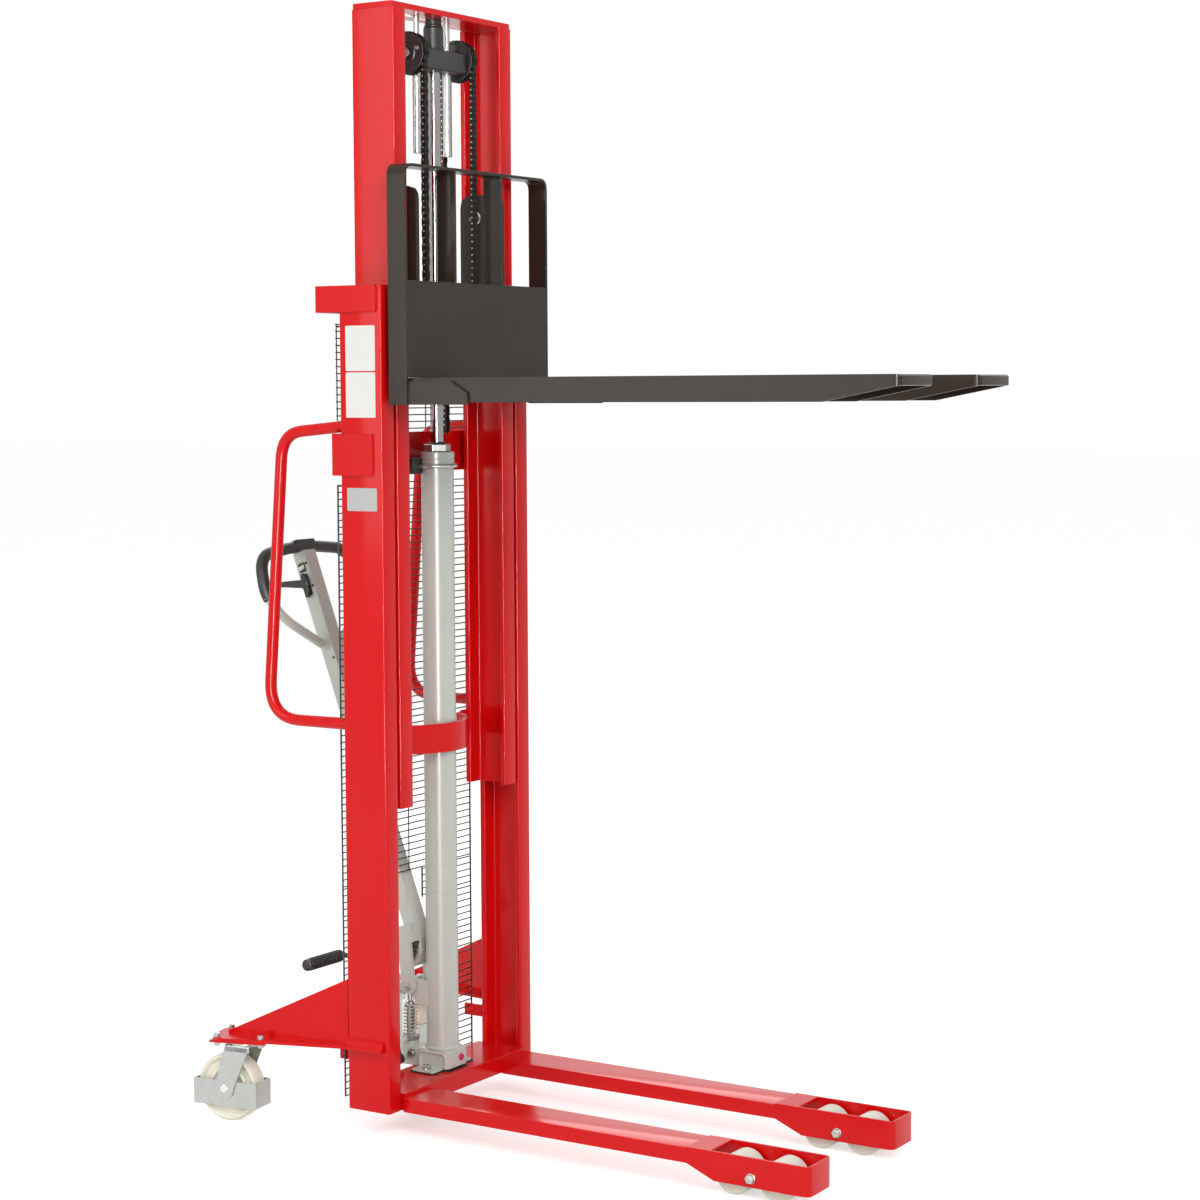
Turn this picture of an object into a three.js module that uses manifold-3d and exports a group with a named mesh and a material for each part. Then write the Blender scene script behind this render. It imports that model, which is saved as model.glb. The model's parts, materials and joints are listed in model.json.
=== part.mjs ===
// Manual walkie stacker with a two-stage mast, in millimetres.
// +X points along the forks, +Y to the machine's left, +Z up; the floor is z = 0.
// Pieces that come in pairs are built on the +Y side and mirrored for the other side.
import * as THREE from "three";
import { mergeVertices } from "three/addons/utils/BufferGeometryUtils.js";
import Module from "manifold-3d";

const wasm = await Module();
wasm.setup();

// ------------------------------------------------------------ clearances
const GAP = 0.3; // between pieces that seat on each other
const RUN = 0.5; // radial, wheel or roller on its axle
const SLIDE = 1; // roller in its channel, each side
const OVERLAP = 1; // how far two parts of one piece reach into each other

// ------------------------------------------------------------ driving dimensions
const MAST_FRONT_X = -349; // front face of the mast, from the middle of the length
const mastWidth = 548;
const channel = { depth: 111, width: 44, flange: 15, web: 8, round: 5 };
const channelMiddleX = -channel.depth / 2;
const stageOffset = 55; // inner channel inboard of the outer one
const outerMast = { bottomZ: 54, topZ: 1830 };
const innerMast = { bottomZ: 711, topZ: 2412 };
const topBar = { thick: 12, inset: 5 };
const guideRod = { radius: 6.5, x: channelMiddleX - 4.5, y: 56, bottomZ: 2140 };
const brace = { bottomZ: 812, topZ: 876, thick: 6, reachY: 140, frontX: -9 };

const basePlate = { frontX: 8.6, rearX: -channel.depth - 9, topZ: 92, thick: 10, lip: 12 };
const leg = {
  outerY: mastWidth / 2 - 38, width: 98, wall: 6, bottomZ: 52.8, topZ: 84.4,
  boxRearX: 717, boxFrontX: 997, boxTopZ: 86.7, boxBottomZ: 26,
  slopeLength: 64, windowRearX: 772, frontRound: 16,
};
const bogie = { x: 866.5, z: 45, wheelbase: 99, plate: 4, plateHeight: 30, pin: 8, axle: 7 };
const loadRoller = { radius: 40, width: 70 };

const outrigger = {
  plateTopZ: 195, thick: 7, gussetThick: 6, gussetTopZ: 338, gussetFootZ: 213,
  splayDeg: 17, sideReach: 12, bossRadius: 34,
};
const caster = {
  x: -channel.depth - 251, y: mastWidth / 2 + 42, trail: 38, wheelRadius: 75, wheelWidth: 45,
  axle: 8, hub: 22, swivelDeg: 8,
  plateLength: 130, plateWidth: 105, plateThick: 4, legThick: 4, legGap: 2.5,
  guardLength: 160, guardWall: 2.5, guardBottomZ: 35, guardTopZ: 92, headRadius: 36,
};
const grabHandle = {
  radius: 13, y: mastWidth / 2 - 19, topZ: 1538, cornerZ: 1517, bottomZ: 892,
  topRunX: -284, bottomRunX: -333, topBend: 55, bottomBend: 85,
};
const topTie = { rearX: -channel.depth - 60.5, frontX: -11.5, bottomZ: 1773.5, thick: 6 };
const cylinderTie = { rearX: -channel.depth - 20.5, frontX: -24.5, bottomZ: 1427.5, topZ: 1517, thick: 6 };
const mesh = {
  x: -channel.depth - 35, halfWidth: mastWidth / 2 - 34, wire: 4, pitch: 160,
  upperBottomZ: 1524, upperTopZ: 1750, lowerBottomZ: 67, lowerTopZ: 1405,
  slotHalfWidth: 145, slotTopZ: 530,
};

const cylinder = { radius: 36, bore: 30, bottomZ: 138, topZ: 1443 };
const liftRod = { radius: 15, bottomZ: 960, pistonHeight: 45 };
const gland = { radius: 37.7, collarHeight: 30, nutAcross: 61, nutHeight: 17 };
const cylinderBase = {
  halfWidth: 38, frontX: channelMiddleX + 40.5, rearX: channelMiddleX - 40.5, footY: 76, footThick: 7,
};
const clamp = { halfWidth: 70, frontX: channelMiddleX - 17.5, bottomZ: 1425, topZ: 1460 };

const crosshead = {
  halfWidth: 74, frontX: channelMiddleX + 34.5, rearX: channelMiddleX - 34.5, bottomZ: 2300, topZ: 2345,
};
const sheave = { y: 90, z: 2331, pitchRadius: 40, flangeRadius: 46, flange: 2.5, width: 24, axle: 12.5 };
const headPost = { radius: 22 };
const sleeve = { radius: 10, bottomZ: 2121, pin: 2, pinLength: 30 };
const chain = { height: 12, width: 16, rearAnchorZ: 1512, frontAnchorZ: 1836, anchorHeight: 16 };

const hoop = {
  outerY: 268.4, footZ: 1578, topZ: 2081, rearX: 15, frontX: 61.5, thick: 6.5, corner: 25, barY: 87,
};
const backPlateTopZ = 1838;
const sidePlate = { y: 160, thick: 12, topZ: 2043, rearX: -97, round: 30 };
const crossBar = { thick: 18.7, lowerZ: 1650, lowerHeight: 70, upperZ: 1776, upperHeight: 60 };
const carriageRollerZ = [1690, 1992];
const fork = {
  outerY: 256, width: 149, topZ: 1634.5, height: 52, skin: 4, side: 6,
  tipX: 1195, taper: 165, tipHeight: 21, noseRound: 14, noseBend: 12,
};
const forkGusset = { length: 150, height: 49, cut: 42 };

const roller = { width: 26, axle: 12.5 };
const mastRollerZ = [752.5, 1200];

const tiller = {
  pivotX: -channel.depth - 7, pivotZ: 275, kneeX: -channel.depth - 15, kneeZ: 400,
  leanDeg: 20.2, length: 896,
  depth: 34, width: 40, wall: 3, earY: 42, ear: 8, earRadius: 17, pin: 8, camReach: 29, cam: 8,
};
const bow = { radius: 13.5, halfWidth: 177, drop: 215, crown: 16 };
const lever = { length: 86, thick: 7, along: 820, height: 15 };
const bracket = { thick: 8, y: 32, bottomZ: 236, saddle: 12 };
const pump = { radius: 21, topZ: 156, blockHalf: 30, plunger: 9, engaged: 16 };
const spring = { inner: 12.5, outer: 18, topZ: 226, cap: 5 };
const pedal = {
  x: -channel.depth - 169, z: 335, gripRadius: 14.5, gripInnerY: -82, gripOuterY: -206, arm: 6,
  pivotX: -channel.depth - 21, pivotZ: 112, pivotY: -62, pin: 5,
};

// ------------------------------------------------------------ solids and booleans
const CURVE_STEPS = 4;
const ROUND_STEPS = 20;

function solidOf(geometry) {
  const bare = geometry.clone();
  bare.deleteAttribute("normal");
  bare.deleteAttribute("uv");
  const merged = mergeVertices(bare, 1e-4);
  return new wasm.Manifold(new wasm.Mesh({
    numProp: 3,
    vertProperties: merged.attributes.position.array,
    triVerts: new Uint32Array(merged.index.array),
  }));
}

function geometryOf(solid) {
  const made = solid.getMesh();
  const positions = new Float32Array(made.numVert * 3);
  for (let i = 0; i < made.numVert; i++) {
    const start = i * made.numProp;
    positions.set(made.vertProperties.subarray(start, start + 3), i * 3);
  }
  const geometry = new THREE.BufferGeometry();
  geometry.setAttribute("position", new THREE.BufferAttribute(positions, 3));
  geometry.setIndex(new THREE.BufferAttribute(made.triVerts, 1));
  geometry.computeVertexNormals();
  return geometry;
}

const join = (...solids) => solids.reduce((whole, next) => whole.add(next));
const cut = (whole, ...tools) => tools.reduce((rest, tool) => rest.subtract(tool), whole);

// A closed outline from corners [a, b] or [a, b, rounding radius].
function outline(corners) {
  const shape = new THREE.Shape();
  corners.forEach(([a, b, radius = 0], i) => {
    const before = new THREE.Vector2(...corners.at(i - 1));
    const after = new THREE.Vector2(...corners[(i + 1) % corners.length]);
    const corner = new THREE.Vector2(a, b);
    const enter = before.sub(corner).setLength(radius).add(corner);
    const leave = after.sub(corner).setLength(radius).add(corner);
    if (i === 0) shape.moveTo(enter.x, enter.y);
    else shape.lineTo(enter.x, enter.y);
    if (radius > 0) shape.quadraticCurveTo(a, b, leave.x, leave.y);
  });
  shape.closePath();
  return shape;
}

// Outlines lie in the plane named first and are extruded along the remaining axis.
const PLANES = {
  xy: new THREE.Matrix4(),
  xz: new THREE.Matrix4().makeBasis(
    new THREE.Vector3(1, 0, 0), new THREE.Vector3(0, 0, 1), new THREE.Vector3(0, -1, 0)),
  yz: new THREE.Matrix4().makeBasis(
    new THREE.Vector3(0, 1, 0), new THREE.Vector3(0, 0, 1), new THREE.Vector3(1, 0, 0)),
};

function prismGeometry(plane, shape, from, to, steps = CURVE_STEPS) {
  const geometry = new THREE.ExtrudeGeometry(shape, {
    depth: to - from, bevelEnabled: false, curveSegments: steps,
  });
  geometry.translate(0, 0, plane === "xz" ? -to : from);
  return geometry.applyMatrix4(PLANES[plane]);
}

const prism = (...extrusion) => solidOf(prismGeometry(...extrusion));

function box([x0, x1], [y0, y1], [z0, z1]) {
  const geometry = new THREE.BoxGeometry(x1 - x0, y1 - y0, z1 - z0);
  geometry.translate((x0 + x1) / 2, (y0 + y1) / 2, (z0 + z1) / 2);
  return solidOf(geometry);
}

// A round bar along an axis; the two places are the coordinates across that axis.
function bar(axis, a, b, radius, from, to, steps = ROUND_STEPS) {
  const geometry = new THREE.CylinderGeometry(radius, radius, to - from, steps);
  const middle = (from + to) / 2;
  if (axis === "x") geometry.rotateZ(Math.PI / 2).translate(middle, a, b);
  if (axis === "y") geometry.translate(a, middle, b);
  if (axis === "z") geometry.rotateX(Math.PI / 2).translate(a, b, middle);
  return solidOf(geometry);
}

// A round tube along straight runs with rounded bends, through the points [x, y, z, bend].
function bentBar(points, radius, steps, sides = 10) {
  const corners = points.map(([x, y, z]) => new THREE.Vector3(x, y, z));
  const path = new THREE.CurvePath();
  let last = corners[0];
  for (let i = 1; i < corners.length - 1; i++) {
    const bend = points[i][3];
    const enter = corners[i - 1].clone().sub(corners[i]).setLength(bend).add(corners[i]);
    const leave = corners[i + 1].clone().sub(corners[i]).setLength(bend).add(corners[i]);
    path.add(new THREE.LineCurve3(last, enter));
    path.add(new THREE.QuadraticBezierCurve3(enter, corners[i], leave));
    last = leave;
  }
  path.add(new THREE.LineCurve3(last, corners.at(-1)));
  const section = new THREE.Shape();
  section.absarc(0, 0, radius, 0, 2 * Math.PI, false);
  return solidOf(new THREE.ExtrudeGeometry(section, {
    steps, extrudePath: path, curveSegments: sides / 2, bevelEnabled: false,
  }));
}

// ------------------------------------------------------------ finishes
function finish(red, green, blue, roughness, metalness = 0) {
  const color = new THREE.Color().setRGB(red, green, blue, THREE.SRGBColorSpace);
  return new THREE.MeshStandardMaterial({ color, roughness, metalness });
}

const redPaint = finish(0.84, 0.13, 0.13, 0.35);
const carriagePaint = finish(0.27, 0.25, 0.24, 0.45);
const greyPaint = finish(0.7, 0.7, 0.67, 0.4);
const blackPaint = finish(0.14, 0.13, 0.13, 0.5);
const zincPlate = finish(0.72, 0.74, 0.75, 0.35, 0.9);
const chromePlate = finish(0.85, 0.85, 0.86, 0.12, 1);
const creamNylon = finish(0.91, 0.89, 0.8, 0.5);
const whiteNylon = finish(0.85, 0.85, 0.79, 0.5);
const rubberGrip = finish(0.27, 0.26, 0.26, 0.7);
const blackPlastic = finish(0.08, 0.08, 0.08, 0.5);
const chainSteel = finish(0.16, 0.15, 0.14, 0.45, 0.8);
const springSteel = finish(0.75, 0.74, 0.7, 0.3, 0.9);

// ------------------------------------------------------------ mast
const outerY = mastWidth / 2;
const innerY = outerY - stageOffset;
const rollerRadius = channel.depth / 2 - channel.flange - SLIDE;

function channelOutline(backY) {
  const { depth, width, flange, web, round } = channel;
  const lipY = backY - width;
  const webY = backY - web;
  return outline([
    [0, lipY, round], [0, backY, round], [-depth, backY, round], [-depth, lipY, round],
    [flange - depth, lipY, round], [flange - depth, webY, round],
    [-flange, webY, round], [-flange, lipY, round],
  ]);
}

const outerChannel = () => prism("xy", channelOutline(outerY), outerMast.bottomZ, outerMast.topZ, 3);

function innerChannel() {
  const stubs = mastRollerZ.map((z) => (
    bar("y", channelMiddleX, z, roller.axle, innerY - OVERLAP, outerY - channel.web - SLIDE)));
  return join(prism("xy", channelOutline(innerY), innerMast.bottomZ, innerMast.topZ, 3), ...stubs);
}

// A flanged ring that rolls on a stub axle; its middle is at the origin, its axle along Y.
function rollerRing() {
  const half = roller.width / 2;
  const bore = roller.axle + RUN;
  return cut(bar("y", 0, 0, rollerRadius, -half, half),
    bar("y", 0, 0, bore, -half - OVERLAP, half + OVERLAP));
}

function innerTopBar() {
  const { inset, thick } = topBar;
  const bottom = innerMast.topZ + GAP;
  const plate = box([-channel.depth + inset, -inset], [-innerY, innerY], [bottom, bottom + thick]);
  const rods = [-1, 1].map((side) => (
    bar("z", guideRod.x, side * guideRod.y, guideRod.radius, guideRod.bottomZ, bottom + OVERLAP, 16)));
  return join(plate, ...rods);
}

// A strip that runs inward from the rear flanges and bows forward round the cylinder.
function innerBrace() {
  const { thick, reachY, frontX, bottomZ, topZ } = brace;
  const rearX = -channel.depth;
  const endY = innerY - channel.width - GAP;
  const rise = frontX - (rearX + thick);
  const radius = (reachY * reachY + rise * rise) / (2 * rise);
  const sweep = Math.asin(reachY / radius);
  const shape = new THREE.Shape();
  shape.moveTo(rearX, -endY);
  shape.lineTo(rearX + thick, -endY);
  shape.absarc(frontX - radius, 0, radius, -sweep, sweep, false);
  shape.lineTo(rearX + thick, endY);
  shape.lineTo(rearX, endY);
  shape.absarc(frontX - radius, 0, radius - thick, sweep, -sweep, true);
  shape.closePath();
  return prism("xy", shape, bottomZ, topZ, 16);
}

// ------------------------------------------------------------ chassis
function baseDeck() {
  const { frontX, rearX, topZ, thick, lip } = basePlate;
  const halfWidth = outerY - channel.width - GAP;
  const across = [-halfWidth, halfWidth];
  return join(
    box([rearX, frontX], across, [topZ - thick, topZ]),
    box([frontX - lip, frontX], across, [outerMast.bottomZ, topZ - OVERLAP]),
    box([rearX, rearX + lip], across, [outerMast.bottomZ, topZ - OVERLAP]));
}

function supportLeg() {
  const { wall, width, bottomZ, topZ, boxRearX, boxFrontX, boxTopZ, boxBottomZ } = leg;
  const inY = leg.outerY - width;
  const rearX = basePlate.frontX + GAP;
  const across = [inY, leg.outerY];
  const within = [inY + wall, leg.outerY - wall];
  const tube = cut(
    box([rearX, boxRearX + OVERLAP], across, [bottomZ, topZ]),
    box([rearX - OVERLAP, boxRearX + 2 * OVERLAP], within, [bottomZ + wall, topZ - wall]));
  const side = prism("xz", outline([
    [boxRearX, bottomZ], [boxRearX + leg.slopeLength, boxBottomZ],
    [boxFrontX, boxBottomZ], [boxFrontX, boxTopZ], [boxRearX, boxTopZ],
  ]), ...across);
  const plan = prism("xy", outline([
    [boxRearX, inY], [boxFrontX, inY, leg.frontRound],
    [boxFrontX, leg.outerY, leg.frontRound], [boxRearX, leg.outerY],
  ]), boxBottomZ, boxTopZ);
  const well = box([boxRearX - OVERLAP, boxFrontX - wall], within,
    [boxBottomZ - OVERLAP, boxTopZ - wall]);
  const window = box([leg.windowRearX, boxFrontX - wall], within,
    [boxTopZ - wall - OVERLAP, boxTopZ + OVERLAP]);
  const pinHole = bar("y", bogie.x, bogie.z, bogie.pin + RUN, inY - OVERLAP, leg.outerY + OVERLAP);
  return cut(join(tube, side.intersect(plan)), well, window, pinHole);
}

// Where the caster's plate lies: u runs rearward and outward, v across it.
const splay = THREE.MathUtils.degToRad(outrigger.splayDeg);
const casterPoint = (u, v) => [
  caster.x - u * Math.cos(splay) + v * Math.sin(splay),
  caster.y + u * Math.sin(splay) + v * Math.cos(splay),
];
const outriggerBottomZ = outrigger.plateTopZ - outrigger.thick;

function outriggerArm() {
  const { plateTopZ, thick, sideReach, gussetThick, gussetTopZ, gussetFootZ } = outrigger;
  const sideY = outerY + GAP;
  const reach = outerY + sideReach;
  const rearX = -channel.depth - GAP;
  const halfLength = caster.plateLength / 2 + OVERLAP;
  const halfWidth = caster.plateWidth / 2 + OVERLAP;
  const plate = prism("xy", outline([
    [-sideReach, sideY], [-sideReach, reach], [rearX, reach + gussetThick],
    [...casterPoint(halfLength, halfWidth), outrigger.bossRadius],
    [...casterPoint(halfLength, -halfWidth), outrigger.bossRadius],
    [rearX, mesh.halfWidth + mesh.wire], [rearX, sideY],
  ]), outriggerBottomZ, plateTopZ);
  const [tipX, tipY] = casterPoint(caster.trail, 0);
  const run = new THREE.Vector2(rearX - tipX, outerY - gussetThick - tipY);
  const gusset = prismGeometry("xz", outline([
    [0, plateTopZ - OVERLAP], [run.length(), plateTopZ - OVERLAP],
    [run.length(), gussetTopZ], [0, plateTopZ + gussetThick],
  ]), 0, gussetThick);
  gusset.rotateZ(run.angle()).translate(tipX, tipY, 0);
  const lip = prism("yz", outline([
    [sideY, plateTopZ - OVERLAP], [reach, plateTopZ - OVERLAP], [reach, plateTopZ], [sideY, gussetFootZ],
  ]), rearX, -sideReach);
  const swivelPlate = prism("xy", outline([
    casterPoint(-halfLength + OVERLAP, -halfWidth + OVERLAP),
    casterPoint(halfLength - OVERLAP, -halfWidth + OVERLAP),
    casterPoint(halfLength - OVERLAP, halfWidth - OVERLAP),
    casterPoint(-halfLength + OVERLAP, halfWidth - OVERLAP),
  ]), outriggerBottomZ - caster.plateThick, outriggerBottomZ + OVERLAP);
  return join(plate, solidOf(gusset), lip, swivelPlate);
}

function grabTube() {
  const { radius, y, topZ, cornerZ, bottomZ, topRunX, bottomRunX, topBend, bottomBend } = grabHandle;
  const tube = bentBar([
    [channelMiddleX, y, topZ], [topRunX, y, cornerZ, topBend],
    [bottomRunX, y, bottomZ, bottomBend], [channelMiddleX, y, bottomZ],
  ], radius, 20);
  return cut(tube, box([-channel.depth - GAP, 0], [y - 2 * radius, y + 2 * radius], [0, outerMast.topZ]));
}

// A strap bent round the rear of the two outer channels.
function tieStrap({ rearX, frontX, bottomZ, topZ, thick }) {
  const sideY = outerY + GAP;
  const reach = sideY + thick;
  return cut(
    prism("xy", outline([
      [frontX, -reach], [frontX, reach], [rearX, reach, thick], [rearX, -reach, thick],
    ]), bottomZ, topZ),
    box([rearX + thick, frontX + OVERLAP], [-sideY, sideY], [bottomZ - OVERLAP, topZ + OVERLAP]));
}

const topStrap = () => tieStrap({ ...topTie, topZ: outerMast.topZ });

// The lower strap also holds the rear end of each lift chain.
function cylinderStrap() {
  const { rearX, thick } = cylinderTie;
  const chainX = channelMiddleX - sheave.pitchRadius;
  const lugs = [-1, 1].map((side) => box(
    [rearX + thick - OVERLAP, chainX + chain.height / 2 + OVERLAP],
    [side * sheave.y - chain.width / 2, side * sheave.y + chain.width / 2],
    [chain.rearAnchorZ - chain.anchorHeight, chain.rearAnchorZ]));
  return join(tieStrap(cylinderTie), ...lugs);
}

// Welded wires: a frame round the outline, then crossing wires at the pitch.
function wireGrid(bottomZ, topZ, slot) {
  const { x, halfWidth, wire, pitch } = mesh;
  const half = wire / 2;
  const near = [x - half, x + half];
  const upright = (y, from, to) => box(near, [y - half, y + half], [from, to]);
  const rung = (z, from, to) => box(near, [from, to], [z - half, z + half]);
  const slotTop = slot ? mesh.slotTopZ : bottomZ;
  const wires = [];
  const columns = Math.round(2 * halfWidth / pitch);
  for (let i = 0; i <= columns; i++) {
    const y = -halfWidth + half + i * (2 * halfWidth - wire) / columns;
    const inSlot = slot && Math.abs(y) < mesh.slotHalfWidth;
    wires.push(upright(y, inSlot ? slotTop : bottomZ, topZ));
  }
  const rows = Math.round((topZ - bottomZ) / pitch);
  for (let i = 0; i <= rows; i++) {
    const z = bottomZ + half + i * (topZ - bottomZ - wire) / rows;
    if (slot && z < slotTop) {
      wires.push(rung(z, -halfWidth, -mesh.slotHalfWidth), rung(z, mesh.slotHalfWidth, halfWidth));
    } else {
      wires.push(rung(z, -halfWidth, halfWidth));
    }
  }
  if (slot) {
    wires.push(rung(slotTop + half, -halfWidth, halfWidth));
    for (const side of [-1, 1]) wires.push(upright(side * mesh.slotHalfWidth, bottomZ, slotTop + wire));
  }
  return join(...wires);
}

// Two standoffs at the mast carry the mesh clear of the channels.
function meshPanel(bottomZ, topZ, slot) {
  const y = outerY - channel.width / 2 - 2 * channel.web;
  const studs = [-1, 1].flatMap((side) => [bottomZ + mesh.wire / 2, topZ - mesh.wire / 2].map((z) => (
    box([mesh.x, -channel.depth - GAP], [side * y - mesh.wire, side * y + mesh.wire],
      [z - mesh.wire / 2, z + mesh.wire / 2]))));
  return join(wireGrid(bottomZ, topZ, slot), ...studs);
}

// ------------------------------------------------------------ hydraulics
function cylinderTube() {
  const { radius, bore, bottomZ, topZ } = cylinder;
  return cut(bar("z", channelMiddleX, 0, radius, bottomZ + GAP, topZ, 32),
    bar("z", channelMiddleX, 0, bore, bottomZ, topZ + OVERLAP, 32));
}

function glandNut() {
  const bottom = cylinder.topZ + GAP;
  const shoulder = bottom + gland.collarHeight;
  return cut(
    join(bar("z", channelMiddleX, 0, gland.radius, bottom, shoulder, 32),
      bar("z", channelMiddleX, 0, gland.nutAcross / 2, shoulder - OVERLAP, shoulder + gland.nutHeight, 6)),
    bar("z", channelMiddleX, 0, liftRod.radius + RUN, bottom - OVERLAP,
      shoulder + gland.nutHeight + OVERLAP));
}

function rodAndPiston() {
  const { radius, bottomZ, pistonHeight } = liftRod;
  return join(
    bar("z", channelMiddleX, 0, radius, bottomZ, crosshead.bottomZ - GAP),
    bar("z", channelMiddleX, 0, cylinder.bore - RUN, bottomZ, bottomZ + pistonHeight, 32));
}

function cylinderFoot() {
  const { halfWidth, frontX, rearX, footY, footThick } = cylinderBase;
  const floor = basePlate.topZ + GAP;
  return join(
    prism("xy", outline([
      [frontX, -halfWidth, 8], [frontX, halfWidth, 8], [rearX, halfWidth], [rearX, -halfWidth],
    ]), floor, cylinder.bottomZ),
    prism("xy", outline([
      [frontX - 2 * footThick, -footY, 8], [frontX - 2 * footThick, footY, 8],
      [rearX + footThick, footY, 8], [rearX + footThick, -footY, 8],
    ]), floor, floor + footThick));
}

function clampBlock() {
  const rearX = cylinderTie.rearX + cylinderTie.thick + GAP;
  return cut(
    box([rearX, clamp.frontX], [-clamp.halfWidth, clamp.halfWidth], [clamp.bottomZ, clamp.topZ]),
    bar("z", channelMiddleX, 0, gland.radius + GAP, clamp.bottomZ - OVERLAP, clamp.topZ + OVERLAP, 32));
}

// Two ears on the back of the cylinder that carry the tiller's pivot.
function pumpBracket() {
  const { thick, y, bottomZ, saddle } = bracket;
  const { pivotX, pivotZ, earRadius, pin } = tiller;
  const frontX = channelMiddleX - cylinder.radius / 3;
  const topZ = pivotZ + earRadius;
  const ears = [-1, 1].map((side) => {
    const from = side * y - thick / 2;
    const flank = prism("xz", outline([
      [frontX, bottomZ], [frontX, topZ], [pivotX, topZ], [pivotX, pivotZ - earRadius],
      [pivotX + earRadius, bottomZ],
    ]), from, from + thick);
    return join(flank, bar("y", pivotX, pivotZ, earRadius, from, from + thick));
  });
  const rearX = channelMiddleX - cylinder.radius;
  const web = box([rearX - saddle, rearX], [-y, y], [bottomZ, bottomZ + 2 * saddle]);
  return cut(join(...ears, web),
    bar("z", channelMiddleX, 0, cylinder.radius + GAP, bottomZ - OVERLAP, topZ + OVERLAP, 32),
    bar("y", pivotX, pivotZ, pin + RUN, -y - thick, y + thick));
}

// The plunger stands under the cam that the tiller swings behind its pivot.
const pumpX = tiller.pivotX - tiller.camReach;
const plungerTopZ = tiller.pivotZ - tiller.cam - GAP;

// A barrel on the block behind the cylinder foot, with the pedal's pin on its right.
function pumpBody() {
  const floor = basePlate.topZ + GAP;
  const frontX = cylinderBase.rearX - GAP;
  const pinEnd = pedal.pivotY - 3 * pedal.arm;
  return cut(
    join(box([pumpX, frontX], [-pump.blockHalf, pump.blockHalf], [floor, cylinder.bottomZ - 6]),
      bar("z", pumpX, 0, pump.radius, floor + OVERLAP, pump.topZ),
      bar("y", pedal.pivotX, pedal.pivotZ, pedal.pin, pinEnd, -pump.blockHalf + OVERLAP)),
    bar("z", pumpX, 0, pump.plunger + RUN, floor + 8, pump.topZ + OVERLAP));
}

function pumpPlunger() {
  const capZ = spring.topZ + GAP;
  return join(
    bar("z", pumpX, 0, pump.plunger, pump.topZ - pump.engaged, plungerTopZ, 16),
    bar("z", pumpX, 0, spring.outer, capZ, capZ + spring.cap));
}

function pumpSpring() {
  const bottomZ = pump.topZ + GAP;
  return cut(
    bar("z", pumpX, 0, spring.outer, bottomZ, spring.topZ),
    bar("z", pumpX, 0, spring.inner, bottomZ - OVERLAP, spring.topZ + OVERLAP));
}

// ------------------------------------------------------------ lift head and chains
function liftHead() {
  const { halfWidth, frontX, rearX, bottomZ, topZ } = crosshead;
  const axleEnd = sheave.y + sheave.width / 2 + 6;
  const block = prism("xz", outline([
    [rearX, bottomZ, 8], [frontX, bottomZ, 8], [frontX, topZ, 8], [rearX, topZ, 8],
  ]), -halfWidth, halfWidth);
  const sleeves = [-1, 1].map((side) => (
    bar("z", guideRod.x, side * guideRod.y, sleeve.radius, sleeve.bottomZ, bottomZ + OVERLAP, 16)));
  const bores = [-1, 1].map((side) => (
    bar("z", guideRod.x, side * guideRod.y, guideRod.radius + RUN, sleeve.bottomZ - OVERLAP,
      topZ + OVERLAP, 16)));
  const pins = [-1, 1].map((side) => bar("y", guideRod.x, sleeve.bottomZ + 2 * sleeve.pin + 1, sleeve.pin,
    side * guideRod.y - sleeve.pinLength / 2, side * guideRod.y + sleeve.pinLength / 2, 8));
  return join(
    cut(join(block, ...sleeves), ...bores), ...pins,
    bar("y", channelMiddleX, sheave.z, sheave.axle, -axleEnd, -halfWidth + OVERLAP),
    bar("y", channelMiddleX, sheave.z, sheave.axle, halfWidth - OVERLAP, axleEnd),
    bar("z", channelMiddleX, 0, headPost.radius, topZ - OVERLAP, innerMast.topZ - GAP));
}

// A chain wheel with two flanges; its middle is at the origin, its axle along Y.
function sheaveWheel() {
  const half = sheave.width / 2;
  const track = sheave.pitchRadius - chain.height / 2 - GAP;
  const flanges = [-half, half - sheave.flange].map((y) => (
    bar("y", 0, 0, sheave.flangeRadius, y, y + sheave.flange, 32)));
  return cut(join(bar("y", 0, 0, track, -half, half, 32), ...flanges),
    bar("y", 0, 0, sheave.axle + RUN, -half - OVERLAP, half + OVERLAP));
}

function chainStrand(x, fromZ, toZ) {
  const half = chain.height / 2;
  return box([x - half, x + half], [sheave.y - chain.width / 2, sheave.y + chain.width / 2], [fromZ, toZ]);
}

const frontStrandX = channelMiddleX + sheave.pitchRadius;
const rearStrandX = channelMiddleX - sheave.pitchRadius;

// ------------------------------------------------------------ carriage
const carriageFaceX = hoop.rearX - GAP;

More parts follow.
